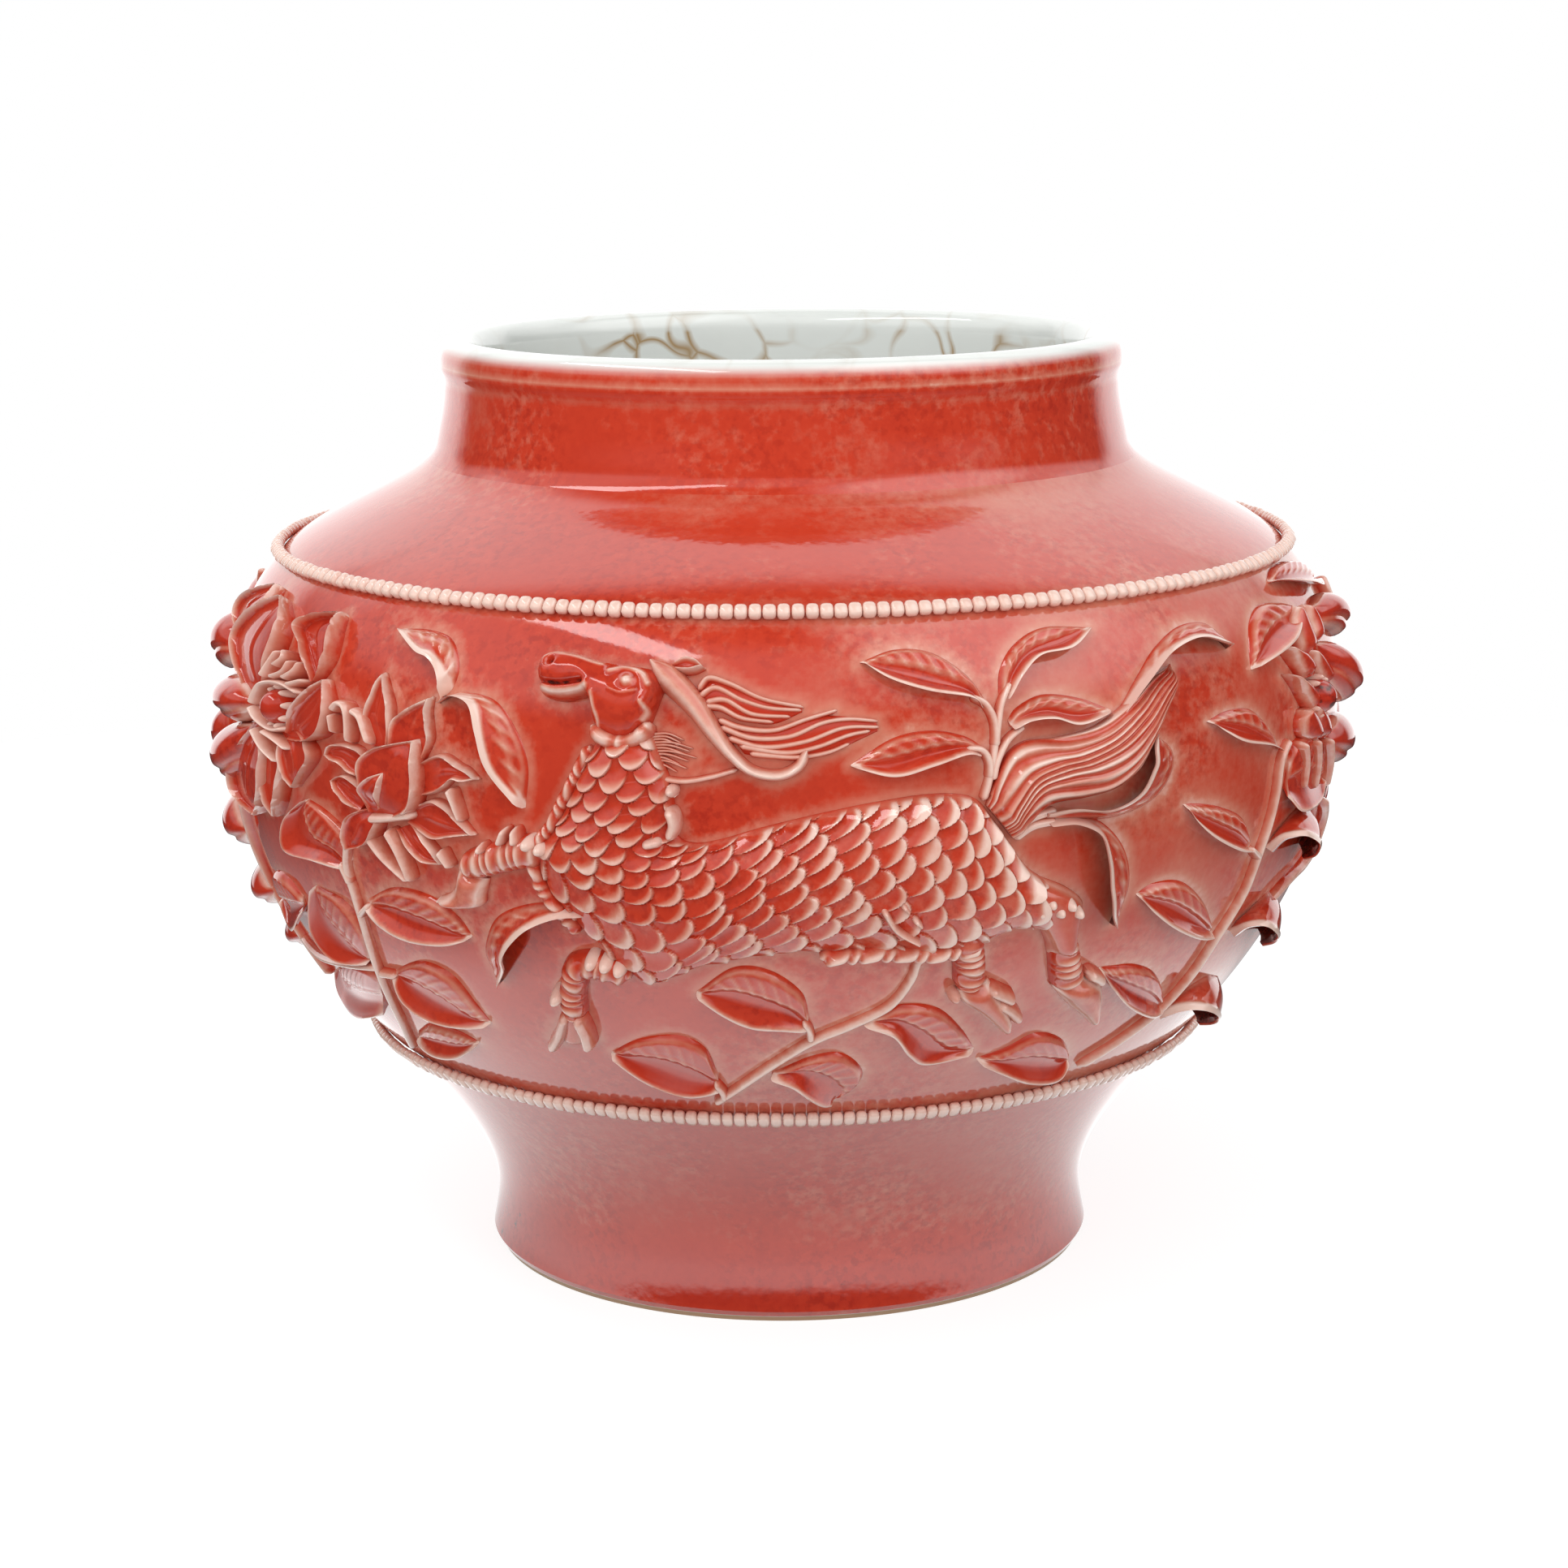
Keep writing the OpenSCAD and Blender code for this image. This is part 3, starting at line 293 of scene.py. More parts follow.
def petal(clay, a, b, rim=3.8, dish=2.0, count=34, cols=31, tip=0.7, edge=0.55):
    """Pointed petal: two pale rolled rims round a red hollow."""
    p, q, t, s, w = between(a, b + a[-1:], count, cols)
    side = np.minimum(s, 1 - s) * w
    rims = np.maximum(bell(side - edge, edge), smooth(t, 0.9, 1))
    grow = (0.55 + 0.45 * smooth(t, 0, 0.45)) * (1 - (1 - tip) * smooth(t, 0.7, 1))
    fold = 0.4 * bell((s - 0.5) * w, 0.7) * smooth(t, 0.1, 0.3) * (1 - smooth(t, 0.6, 0.9))
    top = (dish + (rim - dish) * rims + fold) * grow * (0.45 + 0.55 * smooth(side, 0, edge))
    pale = np.maximum(bell(side - edge, edge), smooth(t, 0.9, 0.99))
    thin = 0.16 + 0.74 * pale * (0.4 + 0.6 * smooth(t, 0, 0.3)) + 0.15 * fold
    clay.body(p, q, top, thin, cols)


def flare(clay, a, b, sheet=1.2, bulge=1.2, count=64, cols=18):
    """Leaf rolled into a funnel: a seated edge, and a free edge that rises off the wall and falls again."""
    t = np.linspace(0.005, 0.995, count)
    p = proud(*on_curve([(*c, SEAT) for c in a], t).T)
    q = proud(*on_curve([(*c, h) for c, h in zip(b, FLARE_RISE)], t).T)
    span, along = q - p, np.gradient(p + q, axis=0)
    out = np.cross(along, span)
    out = out / np.linalg.norm(out, axis=1)[:, None]
    if (out * (p + q)).sum() < 0:
        out = -out
    wide = np.linalg.norm(span, axis=1)[:, None]
    s = np.linspace(0, 1, cols)
    arch = bulge * np.sin(np.pi * s) + 0.5 * bell((1 - s) * wide - 0.8, 0.8)
    top = p[:, None] + span[:, None] * s[:, None] + out[:, None] * arch[..., None]
    under = np.array([0.98, 0.9, 0.75, 0.55, 0.35, 0.15, 0.0])
    low = bulge * np.sin(np.pi * under) - sheet * np.array([0.5, 1, 1, 1, 1, 1, 1])
    bottom = p[:, None] + span[:, None] * under[:, None] + out[:, None] * low[:, None]
    rim = q[:, None] + span[:, None] / wide[:, None] * 0.5
    thin = 0.3 + 0.65 * (1 - smooth((1 - s) * wide, 0.9, 2.4)) + 0.2 * bell(s * wide - 1.5, 0.8)
    # The underside rows carry painted shade, near black in the hollow
    pale = np.hstack([thin, np.full((count, 1), 0.95), np.full((count, 7), UNDER_SHEET_SHADE)])
    clay.shell(np.concatenate([top, rim, bottom], axis=1), pale)


def pad(clay, a, b, high, pale=0.55, base=0.25, count=40, cols=23):
    """Smooth rounded form between two edges, pale along them."""
    p, q, t, s, w = between(a, b, count, cols)
    side = np.minimum(s, 1 - s) * w
    ends = np.sqrt(np.clip(1 - (1 - smooth(np.minimum(t, 1 - t), 0, 0.25)) ** 2, 0.1, 1))
    top = high * np.sin(np.pi * np.clip(s, 0.02, 0.98)) ** 0.45 * (0.3 + 0.7 * ends)
    thin = base + pale * bell(side - 0.9, 1.0) + 0.2 * smooth(t, 0.8, 1)
    clay.body(p, q, top, thin, cols)


def bulb(clay, a, b, rise=7.6, count=44, cols=35):
    """Full petal, rounded all over, with a pale fold along its lower half."""
    p, q, t, s, w = between(a, b + a[-1:], count, cols)
    grow = np.sin(np.pi * np.clip(t, 0.01, 0.99) ** 0.8) ** 0.6
    top = 0.6 + (rise - 0.6) * grow * np.sin(np.pi * s) ** 0.62
    fold = bell((s - 0.66 - 0.08 * np.sin(3 * t)) * w, 0.8)
    top = top - 0.9 * fold * grow
    thin = 0.15 + 0.6 * bell(np.minimum(s, 1 - s) * w - 0.5, 0.7) + 0.45 * smooth(t, 0.9, 1)
    thin = thin + 0.35 * bell((s - 0.74) * w, 0.8)
    clay.body(p, q, top, thin, cols)


def strand(clay, path, w0, w1, h0, h1, count=40, cols=11, thin=0.85, side=0.3,
           lumps=0.0, pitch=3.2, skew=0.0, plain=0.0):
    """Round-backed strip along a path, tapering, with slanting lumps across it where it is banded."""
    c = on_curve(path, np.linspace(0, 1, count))
    u = lengths(c)
    t = (u / u[-1])[:, None]
    s = np.linspace(0, 1, cols)[None, :]
    phase = u[:, None] / pitch + 0.22 * np.sin(0.8 * u)[:, None] + skew * (s - 0.5)
    band = 0.5 + 0.5 * np.cos(2 * np.pi * phase)
    banded = smooth(t, plain - 0.05, plain + 0.08) if plain else 1.0
    ends = np.sqrt(1 - np.clip(1 - np.minimum(t, 1 - t) * u[-1] / (w0 / 2), 0, 0.92) ** 2)
    half = (w0 + (w1 - w0) * t) / 2 * ends
    p, q = beside(c, half[:, 0])
    crown = np.sqrt(np.clip(1 - (2 * s - 1) ** 2, 0, 1))
    h = h0 + (h1 - h0) * t
    top = (h * (0.25 + 0.75 * ends) + lumps * (band - 0.6) * banded) * (0.12 + 0.88 * crown)
    strength = 0.25 + 0.75 * band * banded if lumps else 1.0
    pale = side + (thin - side) * crown**1.5 * strength
    clay.body(p, q, top, pale + np.zeros_like(top), cols)


def dome(clay, c, r, h, thin=0.9, cols=20, turns=7):
    """Low knob seated at a frieze point."""
    lat = np.linspace(0, np.pi / 2 - 0.08, turns)
    turn = np.linspace(0, 2 * np.pi, cols, endpoint=False)
    dx, dy = wall_mm(c[0], c[1])
    reach = np.concatenate([[1.0], np.cos(lat)])[:, None] * r
    high = np.concatenate([[SEAT], h * (0.15 + 0.85 * np.sin(lat))])[:, None]
    az = c[0] + reach * np.sin(turn) / dx
    v = c[1] + reach * np.cos(turn) / dy
    clay.shell(proud(az, v, high + np.zeros_like(az)), np.full(az.shape, thin))


# Qilin


def scales(u, v, size, moon):
    """Height and paleness of overlapping scales: u counts rows along the body, v scales across it."""
    gap = np.full(u.shape, 1e9)
    bulge, vary = np.zeros(u.shape), np.zeros(u.shape)
    row = np.floor(u).astype(int)
    for back in (2, 1, 0):
        j = row - back
        off = (j % 2) * 0.5
        k = np.round(v - off)
        dv = 2 * (v - off - k) + 0.16 * np.sin(31.0 * j + 17.0 * k)
        reach = 1.42 + 0.2 * np.sin(12.9 * j + 78.2 * k)
        g = (j + 0.08 + reach * np.sqrt(np.clip(1 - dv * dv, 0, 1)) - u) * size
        first = (g > 0) & (gap > 1e8)
        gap = np.where(first, g, gap)
        vary = np.where(first, np.sin(7.3 * j + 41.7 * k), vary)
        bulge = np.where(first, np.clip(1 - dv * dv, 0, 1), bulge)
    gap = np.minimum(gap, size * 1.6)
    lift = np.clip(1 - gap / (1.5 * size), 0, 1) ** 1.4 * smooth(gap, 0, 0.55) * (0.35 + 0.65 * bulge)
    wide = moon * (0.12 + 0.88 * bulge**0.8) * (1 + 0.25 * vary)
    pale = smooth(gap, 0, 0.3) * (1 - smooth(gap, 0.3 * wide, wide)) * smooth(bulge, 0.02, 0.45)
    return lift, pale


def qilin_body(clay):
    back = [
        (-11.9, 81.5), (-11.1, 76.8), (-10.2, 72), (-9.8, 67), (-9.6, 61.8), (-8.2, 60.4), (-6, 61),
        (-2, 63.4), (3, 65.8), (8, 67.6), (13, 68.6), (16.8, 67.6), (18.7, 63.5), (20.5, 58.4),
        (22.4, 53.4), (25.6, 49),
    ]
    belly = [
        (-17, 78.7), (-18.1, 74.2), (-19.2, 69.5), (-20.6, 63.8), (-22.8, 57.8), (-22, 50.4), (-18.6, 41.6),
        (-13.8, 32.4), (-8.5, 36), (-2, 38.8), (5, 39.6), (11, 38.6), (15.4, 37.6), (18.8, 39.8),
        (21.2, 42), (24.4, 40.8),
    ]
    cols = 150
    p, q, _, s, w = between(back, belly, 560, cols, 0)
    u = lengths((p + q) / 2)[:, None]
    size = 3.7 + 1.1 * smooth(u, 25, 60) - 0.7 * smooth(u, 75, 120)
    across = 7.2 + 2.2 * smooth(u, 25, 60) - 1.4 * smooth(u, 75, 120)
    row = np.concatenate([[[0.0]], np.cumsum(np.diff(u, axis=0) / size[1:], axis=0)])
    moon = 2.9 + smooth(u, 60, 100) * (0.4 + 1.3 * (1 - smooth(s, 0.25, 0.6)))
    lift, pale = scales(row + 0 * s, (s - 0.5) * w / across, size, moon)
    side = np.minimum(s, 1 - s) * w
    ends = smooth(u, -2, 6) * smooth(u[-1] - u, -6, 6)
    top = 6.6 * np.sin(np.pi * np.clip(s, 0.004, 0.996)) ** 0.5 * (0.35 + 0.65 * ends)
    skin = smooth(side, 0, 1.2)
    crest = (1 - smooth(s * w, 3, 9)) * smooth(u, 40, 60)
    top = top + (1.9 + 0.9 * crest) * lift * skin
    thin = 0.33 + (0.52 + 0.2 * crest) * pale * skin + 0.15 * bell(side - 0.8, 0.7)
    clay.body(p, q, top, thin, cols)
    plait = [
        (-17.4, 77.5), (-18.6, 72.5), (-19.8, 68), (-21.2, 62.6), (-23, 57.6), (-22.6, 51), (-19.4, 42.4),
    ]
    strand(clay, plait, 3.6, 3.6, 4.4, 4.4, 170, 13, thin=0.95, side=0.15, lumps=0.8, pitch=2.9, skew=0.8)
    rope = [(3, 39), (8.8, 39.4), (13.3, 38.6), (18.4, 39.2)]
    strand(clay, rope, 4.4, 4.0, 5.8, 5.4, 110, 15, thin=0.98, side=0.2, lumps=1.2, pitch=4.0, skew=1.1)
    arcs = [[(8.3, 49.8), (9.6, 45.6), (12, 42.4)], [(11, 47.8), (12, 45.6)], [(9.9, 50.6), (10.8, 48.4)]]
    for arc in arcs:
        strand(clay, arc, 2.4, 1.6, 9.4, 8.6, 30)
    bars = [
        [(-10.2, 71.2), (-9.6, 69.2)], [(-10.2, 67.4), (-9.7, 64.4), (-10.2, 61.4)],
        [(-10.6, 61.6), (-12.6, 60.4)],
    ]
    for bar in bars:
        strand(clay, bar, 3.4, 3.0, 7.2, 6.8, 24, 13, thin=1.0, side=0.8)


def qilin_head(clay):
    crown = [
        (-22.9, 89), (-22.9, 91.4), (-21.4, 92.9), (-19.2, 92.6), (-17.3, 91.8), (-15.2, 91.4),
        (-13.1, 91.1), (-11.5, 90.4), (-10.8, 88.3),
    ]
    jaw = [
        (-22.8, 87), (-22.1, 85.4), (-20.2, 84.9), (-17.9, 85.8), (-17.3, 83.8), (-17, 80.9),
        (-15.5, 78.6), (-13.6, 79), (-11.9, 82),
    ]
    eye, nostril = (-13.9, 88.1), (-21.3, 90.5)
    mouth = [(-23.4, 87.9), (-20.7, 87.3), (-18.2, 87.9)]
    ridges = [
        ([(-22.6, 89.4), (-22.4, 90.9), (-21.3, 92), (-19.3, 91.7), (-16.6, 90.7)], 0.9, 0.5, 0.85),
        ([(-15.6, 89.6), (-14.3, 90.4), (-12.8, 89.6), (-12, 87.8)], 0.9, 0.9, 0.85),
        ([(-17, 86), (-16.8, 84.2), (-16.4, 82.1), (-16.5, 80.2)], 0.8, 0.6, 0.85),
        ([(-22.3, 86.4), (-20.7, 86), (-18.8, 86.4), (-17.7, 87)], 1.1, 1.0, 1.0),
        ([(-12.5, 85), (-12, 83.6), (-12.4, 82.2)], 0.7, 0.6, 0.8),
        ([(-15.4, 86.8), (-14.3, 86.2), (-13.1, 86.6)], 0.6, 0.4, 0.5),
    ]
    cols = 90
    p, q, _, s, _ = between(crown, jaw, 130, cols, 0)
    at = p[:, None, :] + (q - p)[:, None, :] * s[..., None]
    az, v = at[..., 0], at[..., 1]
    u = lengths((p + q) / 2)[:, None]
    ends = np.sqrt(1 - np.clip(1 - np.minimum(u, u[-1] - u) / 3.4, 0, 1) ** 2)
    top = 7.6 * np.sin(np.pi * s) ** 0.42 * (0.2 + 0.8 * ends)
    thin = np.full(top.shape, 0.26)
    for path, width, high, pale in ridges:
        on = bell(far_from(az, v, path), width)
        top, thin = top + high * on, np.maximum(thin, pale * on)
    slit = bell(far_from(az, v, mouth), 0.45)
    top, thin = top - 1.5 * slit, thin * (1 - 0.8 * slit)
    for c, r, high, pale in ((eye, 1.5, 1.5, 1.0), (nostril, 2.2, 0.9, 0.6)):
        on = bell(far_from(az, v, [c, c], 2), r)
        top, thin = top + high * on, np.maximum(thin, pale * on)
    hole = bell(far_from(az, v, [nostril, nostril], 2), 0.9)
    top, thin = top - 2.4 * hole, thin * (1 - hole)
    clay.body(p, q, top * (0.4 + 0.6 * ends), thin, cols)
    ear_a = [(-10.6, 91.7), (-9.2, 92.6), (-8.1, 92.3), (-7.2, 91.2)]
    ear_b = [(-10.6, 90.8), (-9.3, 90.2), (-8.2, 90.3)]
    petal(clay, ear_a, ear_b, 4.6, 2.6)
    beard = [(-17.2, 81), (-16.2, 79.2), (-14.6, 78.4), (-13, 79.2), (-11.8, 81.8)]
    strand(clay, beard, 4.2, 4.2, 6.6, 6.6, count=70, cols=15, thin=0.95, side=0.35, lumps=0.9, pitch=4.2)


def qilin_horn(clay):
    horn = [
        (-12, 91.5), (-10, 88.6), (-8, 85), (-6.3, 80.6), (-4.6, 76.5), (-2.8, 73.7), (-0.5, 73),
        (1.2, 74.6), (1.9, 77.4),
    ]
    count, cols = 110, 23
    c = on_curve(horn, np.linspace(0, 1, count))
    u = lengths(c)
    t = (u / u[-1])[:, None]
    s = np.linspace(0, 1, cols)[None, :]
    half = (3.3 - 1.9 * smooth(t, 0, 0.75)) * np.sqrt(np.clip(np.minimum(t * 12, (1 - t) * 25), 0.1, 1))
    p, q = beside(c, half[:, 0])
    crown = np.sin(np.pi * np.clip(s, 0.02, 0.98)) ** 0.6
    flute = bell(s - 0.42, 0.2) * (1 - smooth(t, 0.3, 0.6))
    top = (6.6 - 2.4 * t) * crown - 0.9 * flute
    thin = 0.3 + 0.65 * crown - 0.45 * flute
    clay.body(p, q, top, thin, cols)
    strand(clay, [(-11.6, 72.4), (-9, 71.8), (-6.6, 72.6), (-4.2, 74)], 1.8, 1.4, 2.2, 2.0)


def qilin_mane(clay):
    upper = [
        [(-7.8, 87.6), (-6.9, 89.6), (-4.8, 88.6), (-1.9, 86.2), (1.7, 84.8)],
        [(-7.7, 86.5), (-6.2, 88), (-3.8, 86), (-1.4, 84.7), (1.5, 84.3)],
        [(-7.1, 85.6), (-5.3, 86), (-2.9, 83.7), (0.5, 83.2)],
        [(-7.2, 84.9), (-5.7, 84.7), (-3.8, 83), (-1, 82.3)],
    ]
    lower = [
        [(-5.9, 82.7), (-3.8, 81.3), (-1, 80.9), (1.9, 82.7), (4.7, 84.2)],
        [(-5.7, 81.5), (-2.9, 79.6), (0.4, 79.8), (3.3, 82), (5.7, 82.6), (8.3, 82.1)],
        [(-5, 79.6), (-1.9, 78), (1.8, 78.9), (5.2, 81.1), (8.4, 81.1)],
        [(-4, 78.2), (0, 77), (2.8, 77.9), (5.6, 79.8), (7.6, 80.5)],
        [(-3.1, 76.9), (0.9, 76.2), (3.7, 76.9), (5.7, 78.4)],
    ]
    beds = [
        ([(-7.9, 87.8), (-6.4, 89.8), (-4, 88.4), (-1.5, 86.4), (1.8, 85)],
         [(-7.4, 84.6), (-5.6, 84), (-3.6, 82.6), (-1, 82), (1.8, 84.2)]),
        ([(-6.2, 83.2), (-3.8, 81.8), (-1, 81.4), (3, 83.4), (8.6, 82.4)],
         [(-3.8, 76.8), (-1, 75.8), (1.8, 75.6), (5, 77.6), (8.6, 80.6)]),
    ]
    for a, b in beds:
        p, q, t, s, _ = between(a, b, 30, 17, 0.02)
        top = (0.2 + 1.3 * np.sin(np.pi * s) ** 0.6) * (0.5 + 0.5 * np.sin(np.pi * t))
        clay.body(p, q, top, np.full(top.shape, 0.2), 17)
    for path in upper + lower:
        strand(clay, path, 1.9, 1.1, 2.3, 1.7, count=50, cols=11, thin=0.8, side=0.12)
    starts = on_curve([(-11.8, 80), (-12.3, 77.2), (-12.2, 74.4)], np.linspace(0, 1, 12))
    ends = on_curve([(-9, 79.6), (-7.8, 76.8), (-9.4, 73.2)], np.linspace(0, 1, 12))
    for k, ((x0, y0), (x1, y1)) in enumerate(zip(starts, ends)):
        x1 -= 0.5 * (k % 3)
        comb = [(x0, y0), ((x0 + x1) / 2, (y0 + y1) / 2 + 0.35), (x1, y1 - 0.5)]
        strand(clay, comb, 1.0, 0.5, 1.8, 0.9, count=20, cols=7, thin=0.75, side=0.15)


def qilin_tail(clay):
    upper = [
        (18.1, 65.9), (18.9, 70.3), (20.2, 75), (22.1, 77.1), (25.2, 77.2), (29.2, 78.4), (33, 81.8),
        (35.8, 85), (39.6, 87.4),
    ]
    lower = [
        (20.7, 59.3), (22.2, 62.6), (24.3, 65.2), (27.9, 65.7), (31, 66.7), (33.4, 69.7), (35, 73.9),
        (36.9, 79.4), (39.6, 86.2),
    ]
    cols = 121
    p, q, t, s, _ = between(upper, lower, 150, cols, 0)
    u = lengths((p + q) / 2)[:, None]
    across = s + 0.035 * np.sin(7.0 * t + 9 * s)
    ridge = (0.5 + 0.5 * np.cos(2 * np.pi * (8 * across + 0.3 * np.sin(9 * across + 4 * t)))) ** 1.2
    ends = smooth(u, -3, 3) * smooth(u[-1] - u, -1, 7)
    top = (2.2 + 3.4 * np.sin(np.pi * s) ** 0.6) * ends + 0.9 * ridge * ends
    thin = 0.3 + 0.65 * ridge * (0.75 + 0.25 * np.sin(23 * s + 3 * t)) * (1 - 0.35 * smooth(t, 0.5, 1))
    clay.body(p, q, top, thin, cols)


def leg(clay, path, w0, w1, toes, tufts=(), plain=0.0):
    """Banded leg with its toes and tufts of hair."""
    strand(clay, path, w0, w1, 6.2, 4.8, 130, 21, side=0.2, lumps=0.9, pitch=2.7, skew=0.35, plain=plain)
    for toe in toes:
        strand(clay, toe, 3.2, 3.6, 5.4, 4.8, count=34, cols=13, thin=0.85, side=0.35)
    for c in tufts:
        dome(clay, c, 1.9, 6.8, 0.95)


def near_foreleg(clay):
    path = [
        (-14.8, 34.6), (-16.7, 35.2), (-18.7, 35.8), (-20.4, 34.8), (-21, 32), (-21.6, 28.8), (-21.9, 25.4),
        (-22.1, 23.4),
    ]
    toes = [
        [(-22.6, 25), (-23.5, 22.2), (-24.3, 19.8), (-26, 16.2)],
        [(-21.5, 24.8), (-21.2, 20.7), (-21.4, 17)],
    ]
    leg(clay, path, 6.8, 6.6, toes, [(-15.7, 36.2), (-17, 36.9), (-18.4, 37.2), (-22.9, 29)])
    pad(clay, [(-23.4, 25.6), (-24, 21.6), (-25, 17.6)], [(-21, 25.6), (-21, 21.6), (-21.6, 17)],
        3.8, 0.3, 0.45)


def far_foreleg(clay):
    leg(clay, [(-22, 57.8), (-24.8, 56.8), (-27.2, 55.2), (-29.4, 53.8), (-31, 52.6)], 8.4, 7.2, [])
    pad(clay, [(-31.5, 52.6), (-32, 49.2), (-32.9, 47.2), (-34.6, 45.6)],
        [(-28.3, 51), (-28.9, 47.9), (-29.8, 45.2), (-34.6, 44.8)], 5.0, 0.4, 0.45)
    for tuft in ([(-26, 58.6), (-25.5, 61.8)], [(-24.4, 58.8), (-24.6, 62)], [(-28, 56.6), (-28.2, 58.4)]):
        strand(clay, tuft, 2.4, 1.8, 7.0, 5.6, 18, thin=0.95)
    for c, r in (((-23.2, 59.2), 1.9), ((-22, 58.5), 1.8)):
        dome(clay, c, r, 7.2, 0.95)


def near_hind_leg(clay):
    toes = [[(19.8, 30.2), (21.4, 28.5), (23, 26.8)], [(21.2, 27), (23, 24.6), (24.3, 22.2)]]
    leg(clay, [(16.9, 42.4), (17.2, 38.4), (17.6, 35.2), (17.8, 32.5), (18.2, 29.6)],
        8.2, 7.6, toes, plain=0.2)
    dome(clay, (16.5, 28.9), 1.6, 4.6, 0.7)
    pad(clay, [(16.5, 29.8), (17.4, 27.4), (19.2, 25), (21.2, 22), (23.3, 18.7)],
        [(19.9, 31.4), (21, 29), (22, 26.6), (23.3, 23.2), (24, 19.6)], 5.6, 0.5, 0.48)


def far_hind_leg(clay):
    pad(clay, [(19.8, 51), (21.8, 47.6), (23, 44.8), (24.1, 41.8), (25.3, 38.2), (25.9, 35.4)],
        [(23.4, 51.6), (26.8, 48.4), (28.5, 45.4), (28.6, 41), (28.6, 37.3), (28.9, 35)], 6.4, 0.3, 0.34)
    for tuft in ((23.2, 46), (24.2, 47.4), (25.2, 45.6), (26.3, 46.6), (27.2, 45)):
        dome(clay, tuft, 1.8, 7.8, 0.95)
    leg(clay, [(27, 39), (27.4, 36.4), (27.8, 34.4), (28.3, 32), (28.9, 29.7), (29.4, 27.8)], 7.2, 9.2,
        [[(30.8, 30.6), (31.9, 29.5), (33.2, 28)]])
    pad(clay, [(27.2, 28.2), (28.9, 25.3), (30.8, 22.4), (32.6, 20.2), (34, 18.1)],
        [(31.4, 29.2), (33.4, 27), (34.2, 24.4), (34.5, 21.3), (34.4, 18.5)], 5.6, 0.5, 0.48)


# Sprays and flowers


def stem(clay, path, swell=1.0):
    strand(clay, path, 2.3, 2.3 * swell, 2.2, 2.2, count=100, cols=13, thin=0.92, side=0.45)


def rump_stem(clay):
    stem(clay, [(17.8, 66.9), (18.4, 70.8), (19, 76.4), (19.2, 79.6)], 0.8)


def rump_leaves(clay):
    leaf(clay, [(18.6, 84.8), (17, 89.4), (14, 93.4), (10.5, 94.2), (7, 92.2)],
         [(18, 83.2), (16.8, 85), (13, 86.4), (9.5, 88.8)],
         stalk=[(17.1, 85.4), (18.4, 83.9), (19.1, 80.7), (19.1, 76.6)])
    leaf(clay, [(17.8, 77), (16, 79), (13, 80.2), (9.5, 79), (5.7, 74.4)],
         [(17.6, 75), (16, 75.6), (13, 74), (9.5, 72.4)],
         stalk=[(16.3, 76.6), (17.7, 76.1), (18.4, 73.8), (18.4, 70.8)])
    leaf(clay, [(19.8, 84.8), (20.4, 89.8), (22.4, 93.8), (26, 96.2), (31.5, 95.4)],
         [(20.6, 84.4), (22, 88), (24.2, 90.8), (28, 91.8)],
         stalk=[(21, 87.3), (19.9, 83.9), (19.3, 79.7), (19, 76.4)])
    leaf(clay, [(20.5, 81), (21.6, 83.2), (24.3, 85), (28, 83.8), (31.5, 80.8)],
         [(20.7, 79.2), (22, 80.4), (24.3, 80.4), (27.2, 79)], rim_b=6,
         stalk=[(21.9, 79.7), (20.2, 77.4), (19.1, 73.7), (18.7, 70.5)])


def tail_curls(clay):
    curl(clay, [(32.6, 81.4), (35, 86), (38.2, 90.6), (42.6, 93.6), (46.8, 93), (48.4, 88)],
         [(32, 80), (34.2, 84.2), (37.4, 88.2), (41.1, 89.9), (44.2, 89.4)])
    curl(clay, [(24, 62), (27.6, 61), (32, 60.8), (36.2, 63), (38.4, 67.4), (38.4, 72), (35.6, 76)],
         [(23.6, 63.8), (26, 64.6), (29.3, 63.9), (32.2, 65.9), (33.7, 70), (34.4, 73.2)], rim=8)
    curl(clay, [(24.2, 62.4), (27, 62.4), (30, 60.4), (32.6, 55.6), (34, 50), (34.2, 44.6), (32.9, 39)],
         [(24, 61.4), (26.1, 61.8), (28.3, 59.4), (29.3, 54.3), (29.9, 48.7), (31, 43.6)], rim=8)
    stem(clay, [(20.7, 59.8), (22.4, 62.6), (25, 63.8)])
    stem(clay, [(20.9, 59.2), (22.6, 61.2), (25, 61.8)])


def chest_curl(clay):
    curl(clay, [(-18.6, 47.4), (-22.5, 47.2), (-25.8, 45.7), (-28.4, 43), (-30, 39), (-31, 34), (-30, 28.6)],
         [(-18.4, 46.4), (-21, 46.4), (-23.4, 44.6), (-25.4, 41.4), (-26.7, 38.2), (-27.4, 34.6)], rim=8)


def low_stem(clay):
    stem(clay, [
        (12.6, 37.3), (11.9, 32.1), (10.1, 26.9), (6.5, 23.1), (2.7, 19.7), (-1.2, 14.6), (-5.6, 8.2),
        (-8.7, 4),
    ])


